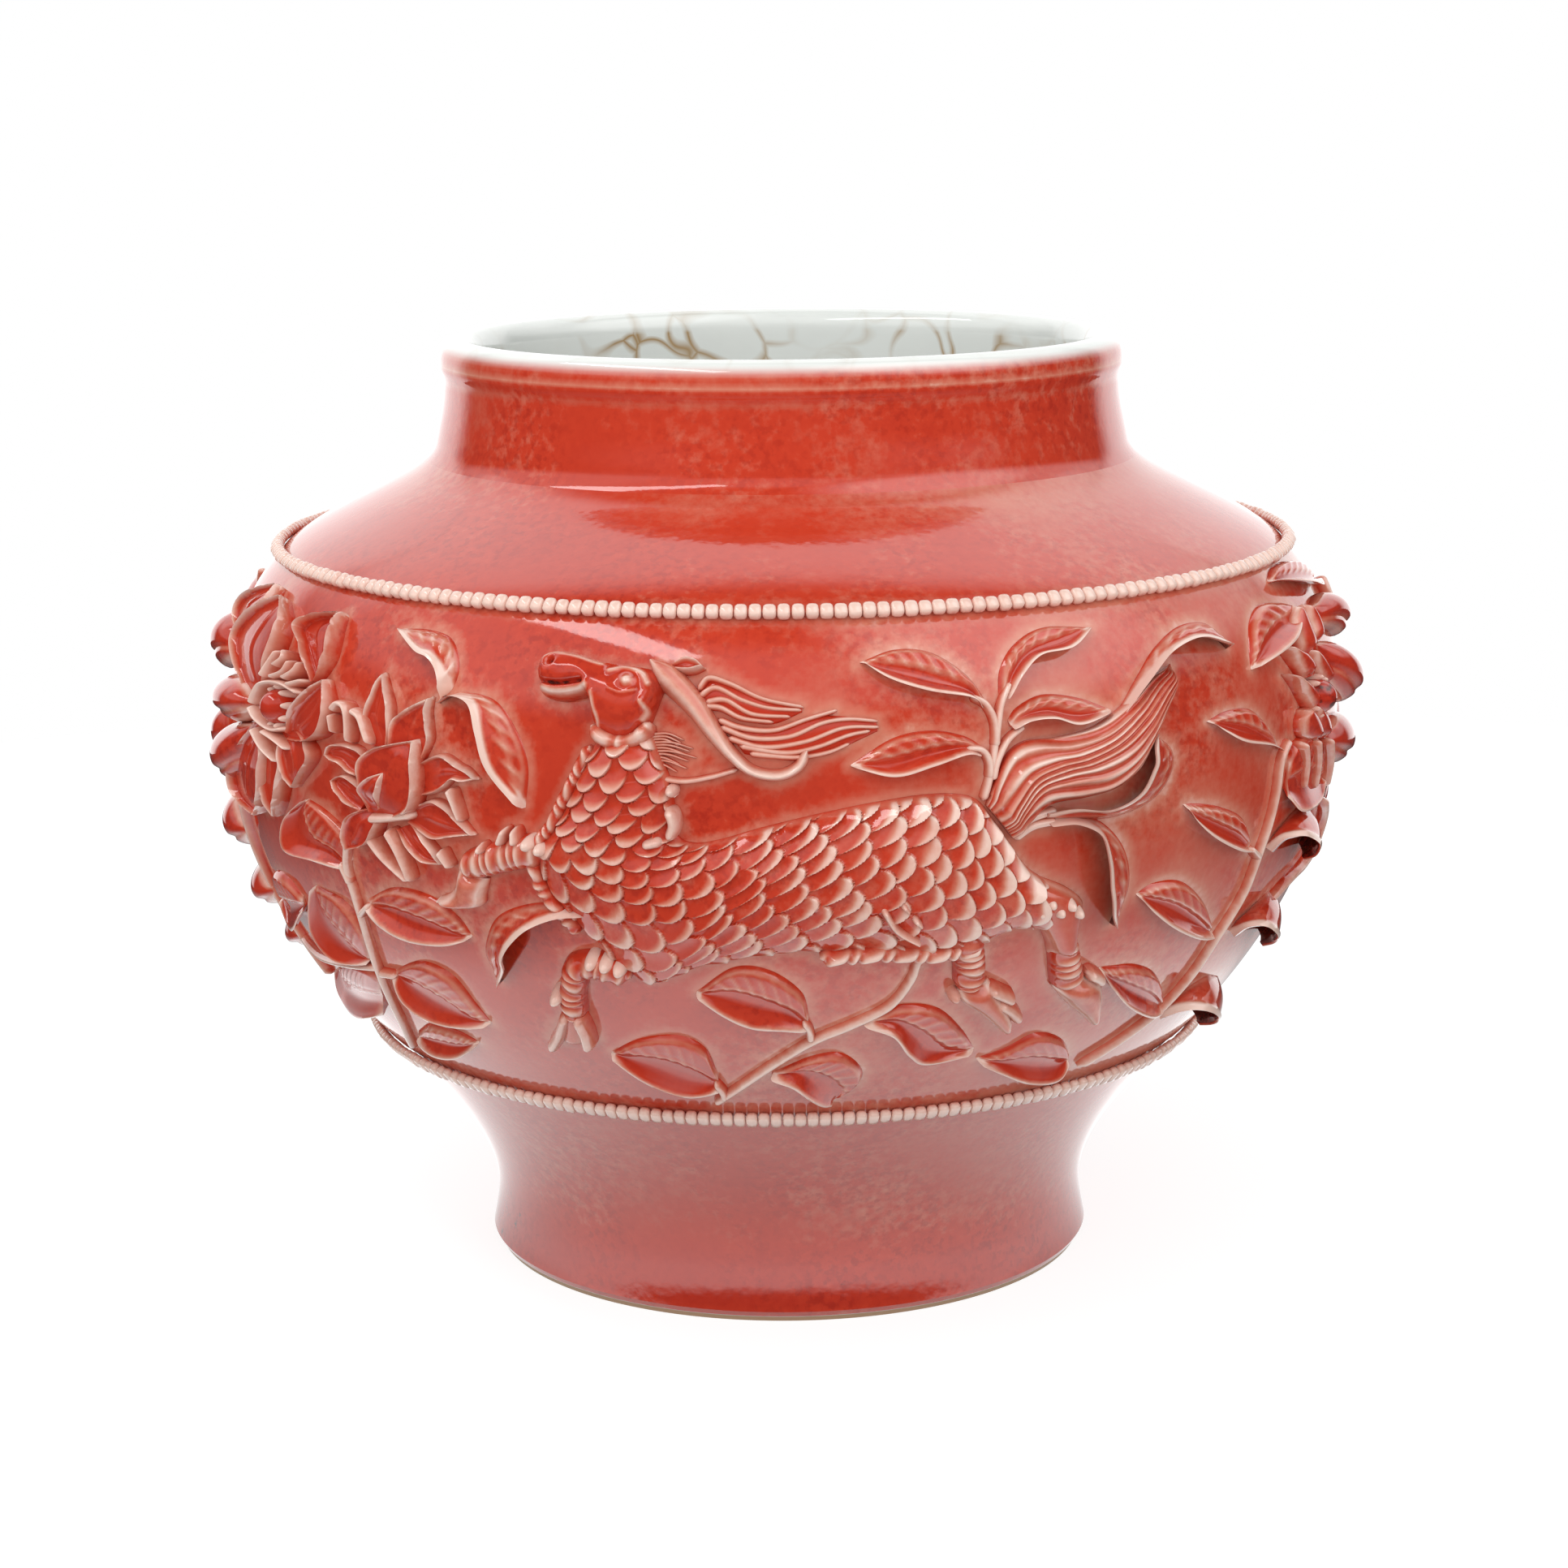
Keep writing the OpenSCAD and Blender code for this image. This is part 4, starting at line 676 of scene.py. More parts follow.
def low_leaves(clay):
    leaf(clay, [(2.2, 25), (1.4, 30.4), (-1.6, 35.1), (-5.1, 35.7), (-9, 30)],
         [(2, 22.6), (-0.5, 24.1), (-3.6, 24.8), (-6.3, 26.8)], stalk=[(1.6, 24.4), (2.2, 22.4), (2.4, 20)])
    leaf(clay, [(-7.9, 11), (-8.8, 17.4), (-11.5, 20.1), (-15.7, 18.8), (-19.7, 14.7)],
         [(-7.7, 7.8), (-11.3, 7.8), (-14.7, 9.8), (-17.3, 12)],
         stalk=[(-8.2, 9.6), (-7.6, 7.4), (-7.4, 5.4)])
    leaf(clay, [(-1.6, 11.6), (2.8, 15.6), (6.1, 15.8), (8.5, 10.1), (5.3, 4)],
         [(-2, 11.2), (0.4, 10.7), (2.6, 7.4), (4.1, 5)])
    leaf(clay, [(8, 23.8), (11.3, 26.7), (15.3, 25.4), (18.7, 19.7), (20.9, 14.4)],
         [(7.6, 23.4), (10.6, 21.9), (12.7, 17.2), (15.1, 14.2)])


def left_stem(clay):
    stem(clay, [
        (-46, 53.4), (-47, 47.7), (-46.9, 42.3), (-47.2, 35.4), (-48.3, 26.8), (-49.6, 19.1), (-51.3, 12.1),
        (-54.4, 5),
    ], 1.15)


def left_leaves(clay):
    leaf(clay, [(-45.6, 41.4), (-40.6, 45.7), (-35.8, 45.3), (-33, 41.8), (-31.9, 37.9)],
         [(-45.4, 40.4), (-42.5, 38.1), (-39.1, 36.5), (-34.9, 36.5)], stalk=[(-44.8, 41), (-47, 38)])
    leaf(clay, [(-45.9, 26), (-40.3, 30.1), (-36.4, 28.3), (-34.8, 22.2), (-34, 18)],
         [(-45.7, 25.4), (-44.8, 21), (-41.7, 18.2), (-37.4, 17.6)], stalk=[(-45.2, 25.6), (-48.2, 25)])
    leaf(clay, [(-49.8, 10.2), (-44.8, 14.2), (-40.5, 14), (-37.9, 12)],
         [(-50, 9), (-46, 8.4), (-42, 9)])
    leaf(clay, [(-46.2, 49.3), (-46, 53.6), (-47.1, 56.4), (-49.7, 58.6), (-52.5, 59.6)],
         [(-47.2, 47.6), (-50.8, 48.6), (-56.7, 48.7), (-56.3, 54.2)], stalk=[(-47.6, 48.8), (-46.8, 44.6)])
    leaf(clay, [(-48.9, 27.7), (-47.7, 34.6), (-50, 39.8), (-55.2, 40.8)],
         [(-49.6, 26.6), (-55.5, 26.4), (-58.3, 30.8)])
    leaf(clay, [(-49.4, 23), (-50.4, 25), (-54, 24.4), (-61, 20.5)],
         [(-53.6, 13.6), (-63, 10), (-67, 11.4)])
    leaf(clay, [(-60, 36.4), (-63, 39.4), (-68, 38.4), (-72, 31)],
         [(-60, 33.8), (-63, 29.8), (-67.6, 27.6)])
    runners = [
        ([(-48, 26.2), (-56, 23.6), (-66, 21), (-74, 21.6)], 2.0, 1.6, 40),
        ([(-70, 15), (-74, 21), (-76.4, 31), (-76, 43), (-73, 54)], 2.2, 2.0, 50),
        ([(-74, 21.4), (-77, 20), (-80.6, 19.4)], 2.0, 2.0, 20),
    ]
    for path, w0, w1, count in runners:
        strand(clay, path, w0, w1, 2.4, 2.2, count, thin=0.9)
    bulb(clay, [(-76, 45.2), (-80, 49.8), (-86, 48.2), (-91, 41.2)],
         [(-76, 42.8), (-80, 39), (-86, 37.4)])
    bulb(clay, [(-76, 32), (-80, 35), (-86, 33.4), (-91, 28)],
         [(-76, 29.6), (-80, 26.4), (-86, 25.6)])
    bulb(clay, [(-80, 20.2), (-84, 22.6), (-88, 21), (-92, 17.2)],
         [(-80, 18.6), (-84, 15.6), (-88, 14.8)])


def left_flower(clay):
    petals = [
        ([(-41.4, 73), (-42.3, 77.9), (-41.6, 82.1), (-41.1, 84.9), (-40.8, 86.8)],
         [(-39.2, 73.6), (-38.8, 77.7), (-38.9, 81), (-39.6, 83.5)]),
        ([(-39.4, 73), (-38.8, 78.1), (-36.9, 80.9), (-35.5, 82.4), (-34.3, 83.8)],
         [(-35.2, 71), (-33.9, 75.7), (-34, 78.7), (-34.3, 81.1)]),
        ([(-36.4, 70.4), (-33.8, 73.2), (-32.2, 73.8), (-30.6, 72.4), (-29.6, 71.6), (-28.6, 69.8)],
         [(-36.4, 64.6), (-33.7, 65.9), (-32.2, 67.5), (-31.2, 69.2), (-30.1, 69)]),
        ([(-36.8, 62.6), (-33.9, 65.1), (-32.2, 64.6), (-30.6, 62.2), (-29.2, 59.2)],
         [(-36.8, 59.6), (-34.9, 58.2), (-33.5, 57.6), (-31.6, 58.5)]),
        ([(-36.3, 60), (-34.8, 57.7), (-33.6, 55.3), (-33, 52.7)],
         [(-38.6, 58.2), (-37.2, 55.6), (-35.5, 53.2)]),
        ([(-41.8, 70.2), (-42.8, 72.4), (-44.8, 73), (-46.9, 72.2), (-48.2, 69.6)],
         [(-42, 66.4), (-44, 67.2), (-45.2, 68.7), (-46.4, 69)]),
        ([(-42.2, 63.6), (-43.2, 66.2), (-44.9, 67.1), (-47.3, 65.2)],
         [(-43.2, 60), (-44.6, 61.3), (-45.9, 63.1)]),
    ]
    for a, b in petals:
        petal(clay, a, b)
    calyx_a = [(-41.3, 61.8), (-43.8, 60), (-44.9, 56.3), (-45, 52.7)]
    calyx_b = [(-40.3, 60.9), (-40.2, 58.3), (-41.6, 54.9)]
    petal(clay, calyx_a, calyx_b, 5.6, 4.0, tip=0.9)
    cup_a = [(-41.4, 61), (-42, 64.8), (-41.8, 70.2), (-40.2, 73.2), (-38.1, 74.6), (-35.2, 76)]
    cup_b = [(-39.6, 60.8), (-37.3, 61.2), (-35.3, 63.4), (-34.7, 68.1), (-34.9, 72.3)]
    petal(clay, cup_a, cup_b, 6.4, 5.2, 44, 41)
    petal(clay, [(-41.2, 62), (-41.5, 65.4), (-40.1, 68.2), (-38.2, 69.8)],
          [(-39.5, 62), (-38.9, 64.8), (-38.4, 67)], 7.4, 6.4)
    rolls = [
        ([(-43.6, 79.4), (-42.3, 78.3), (-41.6, 75.8), (-41.1, 73.6)], 2.6),
        ([(-46.4, 78.4), (-45.6, 79.9), (-44.6, 79.6), (-44.1, 77.4), (-44, 73.2)], 2.4),
        ([(-46.4, 78), (-46.2, 74.4)], 1.8),
        ([(-31.4, 67.8), (-30.9, 65.3), (-30.3, 61.8)], 1.9),
        ([(-39, 58.4), (-38, 54.9), (-37.4, 51.4), (-37.1, 48.6)], 2.3),
        ([(-41.5, 56.4), (-40.1, 53.1), (-38.7, 50.8), (-37.3, 48.7)], 2.0),
        ([(-32.9, 56), (-32, 52.6)], 1.8),
        ([(-41.2, 59.8), (-38.7, 60.6), (-35.8, 61.8)], 3.2),
    ]
    for path, w in rolls:
        strand(clay, path, w, w * 0.8, 5.2, 4.2, 34, thin=0.92, side=0.4)
    dome(clay, (-50.3, 94.4), 1.6, 3)


def left_hook(clay):
    curl(clay, [(-33.9, 82.8), (-32.4, 86.2), (-32.4, 90.4), (-34.3, 94.2), (-37.6, 95.2), (-41.2, 94.6)],
         [(-33.6, 82.6), (-33, 85.4), (-33.5, 87.8), (-34.8, 89.6), (-36.8, 90.6)], rim=5)
    curl(clay, [(-33.6, 83.6), (-31, 85.2), (-27.5, 84.2), (-25, 79.3), (-23.7, 72.9), (-24.1, 64.9)],
         [(-33.4, 82.6), (-31.5, 84), (-29.3, 82.9), (-28.3, 78.4), (-27, 71.8)], rim=5)


def ray(c, turn, r):
    """Frieze point r millimetres from another, in the direction turn."""
    dx, dy = wall_mm(c[0], c[1])
    return (c[0] + r * math.sin(turn) / dx, c[1] + r * math.cos(turn) / dy)


def edge_flower(clay):
    petal(clay, [(-54.6, 72.6), (-53.5, 75.6), (-51.8, 78.8), (-49.8, 81.8), (-48.5, 83.8)],
          [(-54.2, 70.6), (-50.4, 71.6), (-47.6, 74), (-46.9, 78.7)], 5.8, 3.0, 44, 41)
    petal(clay, [(-56.6, 72), (-55.6, 68.2), (-54.8, 64.6), (-53.8, 61.4)],
          [(-52.6, 73), (-50.2, 71), (-49.9, 68.1)], 4.8, 3.4, 40, 31)
    petal(clay, [(-61.6, 71), (-60.2, 65.9), (-59.6, 61.6), (-59.1, 57.3), (-58.5, 54)],
          [(-58, 70.2), (-55.2, 66.1), (-55.5, 61.5), (-56.7, 57.5)], 5.2, 3.2, 44, 35)
    rings = [
        ([(-60.4, 75.6), (-59.9, 77.6), (-58.7, 79.9), (-55.4, 81), (-51.9, 80.2)], 2.2),
        ([(-60.6, 75.4), (-59.1, 73.4), (-56.3, 72.3), (-54.2, 73)], 2.0),
        ([(-58.8, 81), (-58.1, 83.8), (-57.5, 86.4)], 2.0),
        ([(-56.8, 81.6), (-55, 83.2), (-54.5, 85.4)], 1.7),
        ([(-54.4, 82), (-53, 83.8), (-52.6, 85.6)], 1.7),
        ([(-53.4, 81.2), (-51.4, 82.6)], 1.8),
        ([(-56.6, 83.6), (-55.6, 85.4), (-56.2, 86.8)], 1.5),
        ([(-59.9, 71.5), (-58.1, 68.3), (-55.6, 66.2)], 1.9),
        ([(-57.6, 71.7), (-55.4, 70.7), (-53.4, 69.3)], 1.9),
    ]
    for path, w in rings:
        strand(clay, path, w, w * 0.75, 6.6, 5.0, 34, thin=0.92, side=0.4)


def edge_petals(clay):
    petal(clay, [(-62.8, 75.3), (-65.8, 78.3), (-69.2, 82.6), (-70.5, 85.9), (-68.4, 89.7),
                 (-65.3, 92.9), (-63, 95)],
          [(-60.1, 78.4), (-59.6, 80.8), (-59, 83.4), (-58.6, 86.2), (-58.5, 89.2), (-59.7, 92.3)],
          6.0, 3.6, 56, 45)
    petal(clay, [(-69.5, 84), (-74.5, 87), (-75, 90.6), (-71.4, 93.6), (-66.4, 96.4)],
          [(-68.5, 87.6), (-68, 89.4), (-66.7, 91.5), (-65.4, 93.3)], 5.2, 3.4, 44, 35)
    petal(clay, [(-51, 82.4), (-51.8, 84.8), (-54, 88.7), (-55.8, 91.1), (-54.1, 93.2), (-49.7, 95)],
          [(-50.3, 82.7), (-49.2, 85.2), (-48.6, 87.8), (-48.9, 91), (-49.3, 92.9)], 5.6, 1.8, 44, 35)
    petal(clay, [(-61.8, 72), (-64.7, 67.5), (-67.7, 62.8), (-69.2, 58), (-67.6, 54.6), (-63.6, 52.6)],
          [(-60.3, 71.6), (-59.2, 68), (-58.7, 63.6), (-59.2, 59.3), (-60.7, 55.8)], 6.0, 3.6, 56, 45)
    bulb(clay, [(-62.8, 76.6), (-66, 79), (-71, 78.4), (-77, 74)],
         [(-62.6, 73.8), (-66, 70.4), (-71.4, 69.4)], 8.6)
    bulb(clay, [(-63.4, 71), (-67.4, 69.8), (-73, 67.4), (-80, 59.6)],
         [(-66.6, 60), (-69.4, 57), (-74, 56)], 8.6)
    bulb(clay, [(-76, 86), (-80, 88), (-85, 85), (-90, 78.6)],
         [(-75, 80.4), (-79, 77.4), (-84, 75.4)], 7)
    bulb(clay, [(-80, 68), (-83, 67.6), (-87, 63.4), (-90, 57)],
         [(-79, 61.4), (-81, 58), (-85, 55)], 6)


def right_stem(clay):
    stem(clay, [
        (57, 68), (55.2, 64.3), (54.7, 58), (54.1, 52.4), (53.4, 47.7), (53, 43.5), (52.6, 38.9),
        (51.6, 34.4), (50.6, 30.6), (49.9, 26.4), (49, 21.6), (46.8, 15.6), (42.8, 10.4), (37.6, 5.4),
    ])


def right_leaves(clay):
    leaf(clay, [(55.6, 66.8), (52.9, 71.9), (50.1, 76.2), (46.3, 77), (43.2, 75.8)],
         [(55.3, 66.3), (51.6, 68.9), (47.1, 71), (44.9, 73.2)])
    leaf(clay, [(51.8, 48.6), (49.2, 55.2), (45.4, 58.7), (41.9, 60.5), (39.9, 60.9)],
         [(51.2, 48), (47.4, 50.2), (43.4, 53.9), (41, 57.5)], stalk=[(51, 48.6), (53.2, 46)])
    leaf(clay, [(49.8, 31.4), (45.6, 39.5), (41.2, 45.2), (37.5, 46.1), (35.3, 44.4)],
         [(49.5, 30.8), (44.9, 33.3), (40.5, 37), (37.3, 40.9)])
    leaf(clay, [(47.6, 16), (42.4, 24.9), (38.3, 28.6), (35, 29.4), (33.1, 29.6)],
         [(47, 15.4), (43.2, 16.9), (38.3, 21.1), (34.8, 26.1)])
    leaf(clay, [(35.4, 8.2), (32.3, 13.6), (28.2, 16.4), (24.9, 13.7), (21.5, 11.9)],
         [(35, 8), (33.5, 5.5), (29.1, 6.5), (24.9, 9.4)])
    leaf(clay, [(57.4, 63.6), (58.8, 67.2), (62.5, 67.8), (66.5, 63), (68.5, 56)],
         [(56.6, 56.8), (58.4, 53.8), (61.5, 53), (65.5, 53.2)])
    leaf(clay, [(65.5, 91.6), (62.5, 93), (57.4, 94), (53.8, 91.6), (52, 87.1), (51.3, 83.3)],
         [(64.8, 90.6), (61.5, 88), (58.6, 86.1), (55.6, 84.9), (53, 84)])


def right_curls(clay):
    flare(clay, [(56.1, 46), (57.2, 48.3), (58.7, 50.3), (60.4, 51.8), (62.4, 52.5), (66, 51),
                 (68, 47), (66.6, 43)],
          [(55.5, 46.2), (55.5, 49.3), (56.1, 50.2), (57.4, 50.3), (59.6, 48.6), (60.8, 47),
           (62.7, 44), (63.4, 42)])
    flare(clay, [(54.8, 29.6), (56.1, 31.4), (57.6, 33), (59, 34.4), (60.6, 35.1), (64, 33.6),
                 (66.2, 29.4), (65.4, 25)],
          [(54.1, 29), (53.4, 32.1), (53.8, 33.4), (54.8, 33.6), (56.3, 32.4), (58.2, 30.4),
           (61.1, 27), (62.6, 24.3)])
    flare(clay, [(48.8, 13.8), (50.1, 16.3), (52.2, 18.1), (54.6, 18.9), (57, 18.2), (60.6, 16),
                 (62, 12), (60.6, 8.4)],
          [(47.6, 13.4), (48.5, 16.2), (49.6, 17.4), (51.1, 17.6), (53.4, 16.2), (55.4, 14),
           (57.6, 11), (59, 8.4)])
    leaf(clay, [(62.5, 97.2), (66, 98.8), (72, 98.6), (78, 96.6), (84, 91.6)],
         [(62.5, 96.4), (66, 94.8), (71, 93.2), (77, 91.4)])
    strand(clay, [(84, 91.6), (82, 88), (78, 84.6)], 3.0, 2.4, 3.4, 3.0, thin=0.85)
    strand(clay, [(70, 51), (74, 45), (74, 39.6), (70, 37.4), (64.6, 36.4), (58, 32)],
           2.6, 2.2, 2.8, 2.6, thin=0.85)


def right_flower(clay):
    petals = [
        ([(64.6, 78.6), (61.8, 83), (59.4, 84.6), (57, 85.8)], [(60.4, 78.6), (58.9, 81.6), (58, 83.4)]),
        ([(64.6, 73.2), (61.4, 77.5), (59.2, 79.2), (56.8, 80.8)], [(61.6, 71.2), (59.6, 75), (58.4, 77.7)]),
        ([(65.4, 81.6), (64.8, 87.4), (64.7, 89.6), (63, 91.6)], [(61, 83), (60.9, 86.4), (61, 88.9)]),
        ([(67.4, 83.4), (68, 86.7), (67.7, 88.7), (65.6, 91.2)], [(64.6, 84.6), (64.9, 87), (65, 88.7)]),
        ([(64.6, 65.6), (63.6, 70.2), (61.4, 72.9), (59.6, 73)], [(61.4, 66), (59.2, 68), (58.7, 70.7)]),
        ([(67.4, 64.4), (66.2, 69), (64, 71.6), (61.6, 73.4)], [(63.4, 66), (62.2, 68.7), (61.9, 70.7)]),
        ([(69.6, 76), (67, 80.4), (64.6, 82.6), (62.4, 83.6)], [(66, 75), (64, 78), (63, 80.6)]),
    ]
    for a, b in petals:
        pad(clay, a, b + a[-1:], 4.6, 0.5, 0.24)
    bulb(clay, [(66.4, 84), (70, 83), (76, 78.4), (82, 71.6)],
         [(66.8, 77), (69.6, 72.4), (74, 69.4)], 9)
    bulb(clay, [(70, 90), (75, 91), (81, 88.4), (87, 82)],
         [(70, 86), (75, 83.6), (80, 81)], 7)
    bulb(clay, [(68, 66), (72, 67.6), (78, 65.4), (84, 58)],
         [(67, 62), (71, 58.4), (77, 56)], 6)
    sepals = [
        [(58.6, 67), (60, 62), (60.6, 57)],
        [(62, 66.4), (63.4, 61), (64, 55.6)],
        [(66, 65), (68, 60), (69, 54)],
    ]
    for sepal in sepals:
        strand(clay, sepal, 2.8, 1.8, 4.6, 2.8, 34, thin=0.9, side=0.4)


def flower_hearts(clay):
    for c in HEARTS:
        dome(clay, c, HEART_R, 7.4, 0.1, 40, turns=11)
        for k in range(9):
            p = ray(c, 2 * math.pi * k / 9, HEART_R * 1.05)
            dome(clay, p, 1.0, 4.6, 0.9, 12)


SPRIGS = [
    qilin_body, qilin_head, qilin_horn, qilin_mane, qilin_tail, near_foreleg, far_foreleg,
    near_hind_leg, far_hind_leg, rump_stem, rump_leaves, tail_curls, chest_curl, low_stem,
    low_leaves, left_stem, left_leaves, left_flower, left_hook, edge_flower, edge_petals,
    right_stem, right_leaves, right_curls, right_flower, flower_hearts,
]


# Materials


WHITE = (1, 1, 1, 1)
# Colours by thinness of the glaze; the stop at 0 is near black, painted shade for the hollows under lifted
# sheets, where the thinness is below zero
RED_RAMP = [
    (0.0, (0.10, 0.012, 0.008, 1)),
    (0.05, (0.50, 0.030, 0.013, 1)),
    (0.3, (0.61, 0.050, 0.020, 1)),
    (0.6, (0.69, 0.23, 0.15, 1)),
    (0.95, (0.92, 0.65, 0.55, 1)),
]
SPOT_RED = (0.38, 0.020, 0.010, 1)
WHITE_GLAZE, WHITE_SHADE = (0.90, 0.92, 0.88, 1), (0.82, 0.85, 0.82, 1)
STAIN_BROWN, BARE_CLAY = (0.42, 0.25, 0.09, 1), (0.48, 0.29, 0.16, 1)


class Nodes:
    """Node tree of a material or a world, and short calls that build it."""

    def __init__(self, owner):
        owner.use_nodes = True
        self.tree = owner.node_tree
        self.tree.nodes.clear()

    def add(self, kind, sockets=(), **settings):
        """Node with its settings, each socket fed by a value or by another node's output."""
        n = self.tree.nodes.new(kind)
        for key, value in settings.items():
            setattr(n, key, value)
        for key, value in dict(sockets).items():
            if isinstance(value, bpy.types.NodeSocket):
                self.tree.links.new(value, n.inputs[key])
            else:
                n.inputs[key].default_value = value
        return n

    def maths(self, op, a, b=0.0, clamp=False):
        return self.add("ShaderNodeMath", {0: a, 1: b}, operation=op, use_clamp=clamp).outputs[0]

    def times(self, a, *others):
        for b in others:
            a = self.maths("MULTIPLY", a, b)
        return a

    def ramp(self, fac, stops):
        """Colour ramp. A stop is a place with a colour or with a level of grey."""
        n = self.add("ShaderNodeValToRGB", {"Fac": fac})
        while len(n.color_ramp.elements) < len(stops):
            n.color_ramp.elements.new(0.5)
        for e, (place, colour) in zip(n.color_ramp.elements, stops):
            e.position = place
            e.color = colour if isinstance(colour, tuple) else (colour, colour, colour, 1)
        return n.outputs["Color"]

    def mix(self, fac, a, b):
        return self.add("ShaderNodeMix", {0: fac, 6: a, 7: b}, data_type="RGBA").outputs[2]


def glaze(name, section=False):
    """Copper-red glaze that breaks pale where it is thin and pools deep where it is thick, and goes near
    black as painted shade in the hollows under lifted sheets.
    A section of the jar also has the white inside with stained cracks, and bare clay at the foot."""
    mat = bpy.data.materials.new(name)
    nodes = Nodes(mat)
    add, maths, times, ramp, mix = nodes.add, nodes.maths, nodes.times, nodes.ramp, nodes.mix
    place = add("ShaderNodeTexCoord").outputs["Object"]

    def attribute(title):
        return add("ShaderNodeAttribute", attribute_name=title).outputs["Fac"]

    def noise(scale, detail=3.0):
        sockets = {"Vector": place, "Scale": scale, "Detail": detail, "Roughness": 0.55}
        return add("ShaderNodeTexNoise", sockets).outputs["Fac"]

    def centred(value, strength):
        return times(maths("SUBTRACT", value, 0.5), strength)

    # Below zero the attribute is painted shade under lifted sheets, which the ramp turns near black
    thin = attribute("thin")
    mottle, fine = noise(55, 4), noise(520, 2)
    drift = maths("ADD", centred(mottle, 0.22), centred(noise(16), 0.5))
    drift = times(drift, maths("ADD", thin, 0.35, True), 1.2)
    cloud = ramp(noise(26), [(0.4, 0.15), (0.6, 1)])
    grain = times(centred(noise(330), 0.6 if section else 0.42), cloud)
    grain = maths("ADD", grain, centred(fine, 0.12))
    level = maths("ADD", maths("ADD", thin, drift), grain, True)
    spots = ramp(noise(480, 2), [(0.5, 0), (0.63, 0.8)])
    spots = times(spots, maths("SUBTRACT", 1.1, times(thin, 1.8), True), cloud)
    colour = mix(spots, ramp(level, RED_RAMP), SPOT_RED)
    rough = maths("ADD", times(mottle, 0.05), 0.04)
    if section:
        swirl = add("ShaderNodeTexNoise", {"Vector": place, "Scale": 26}).outputs["Color"]
        swirl = add("ShaderNodeVectorMath", {0: swirl, "Scale": 0.05}, operation="SCALE").outputs[0]
        bent = add("ShaderNodeVectorMath", {0: place, 1: swirl}, operation="ADD").outputs[0]
        cracks = add("ShaderNodeTexVoronoi", {"Vector": bent, "Scale": 52}, feature="DISTANCE_TO_EDGE")
        lines = ramp(cracks.outputs["Distance"], [(0, 1), (0.03, 0.6), (0.09, 0)])
        patch = ramp(noise(15), [(0.44, 0), (0.58, 1)])
        white = mix(mottle, WHITE_GLAZE, WHITE_SHADE)
        white = mix(times(lines, patch, attribute("stain")), white, STAIN_BROWN)
        coat = attribute("coat")
        bare = maths("SUBTRACT", coat, 1.0, True)
        colour = mix(bare, mix(maths("MINIMUM", coat, 1.0), colour, white), BARE_CLAY)
        rough = maths("ADD", rough, times(bare, 0.5))
    height = maths("ADD", noise(130, 2), times(fine, 0.25))
    bump = add("ShaderNodeBump", {"Height": height, "Strength": 0.1, "Distance": 0.0004}).outputs[0]
    sockets = {"Base Color": colour, "Roughness": rough, "IOR": 1.7, "Normal": bump}
    shader = add("ShaderNodeBsdfPrincipled", sockets)
    add("ShaderNodeOutputMaterial", {"Surface": shader.outputs[0]})
    return mat


materials = {
    "red_glaze": glaze("red_glaze", section=True),
    "bead_glaze": glaze("bead_glaze"),
    "relief_glaze": glaze("relief_glaze"),
}


# Pieces


def piece(node, slot, points, loops, sizes, values, sharp=50):
    """Mesh object in metres that stands for a node of the CAD model."""
    mesh = bpy.data.meshes.new("glazed_" + node)
    mesh.vertices.add(len(points))
    mesh.vertices.foreach_set("co", (points * MM).astype(np.float32).ravel())
    mesh.loops.add(len(loops))
    mesh.loops.foreach_set("vertex_index", loops.astype(np.int32))
    mesh.polygons.add(len(sizes))
    starts = np.concatenate([[0], np.cumsum(sizes)[:-1]]).astype(np.int32)
    mesh.polygons.foreach_set("loop_start", starts)
    mesh.polygons.foreach_set("use_smooth", np.ones(len(sizes), bool))
    mesh.update(calc_edges=True)
    mesh.validate()
    mesh.set_sharp_from_angle(angle=math.radians(sharp))
    for name, value in values.items():
        mesh.attributes.new(name, "FLOAT", "POINT").data.foreach_set("value", value.astype(np.float32))
    mesh.materials.append(materials[slot])
    obj = bpy.data.objects.new("glazed_" + node, mesh)
    bpy.context.scene.collection.objects.link(obj)
    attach(obj, "root")
    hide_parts(node)


def clay_piece(node, slot, clay, facing=1):
    points = np.vstack(clay.points) * (facing, facing, 1)
    quads, tris = np.vstack(clay.quads), np.vstack(clay.tris)
    loops = np.concatenate([quads.ravel(), tris.ravel()])
    sizes = np.concatenate([np.full(len(quads), 4), np.full(len(tris), 3)])
    piece(node, slot, points, loops, sizes, {"thin": np.minimum(np.concatenate(clay.thin), 1)})


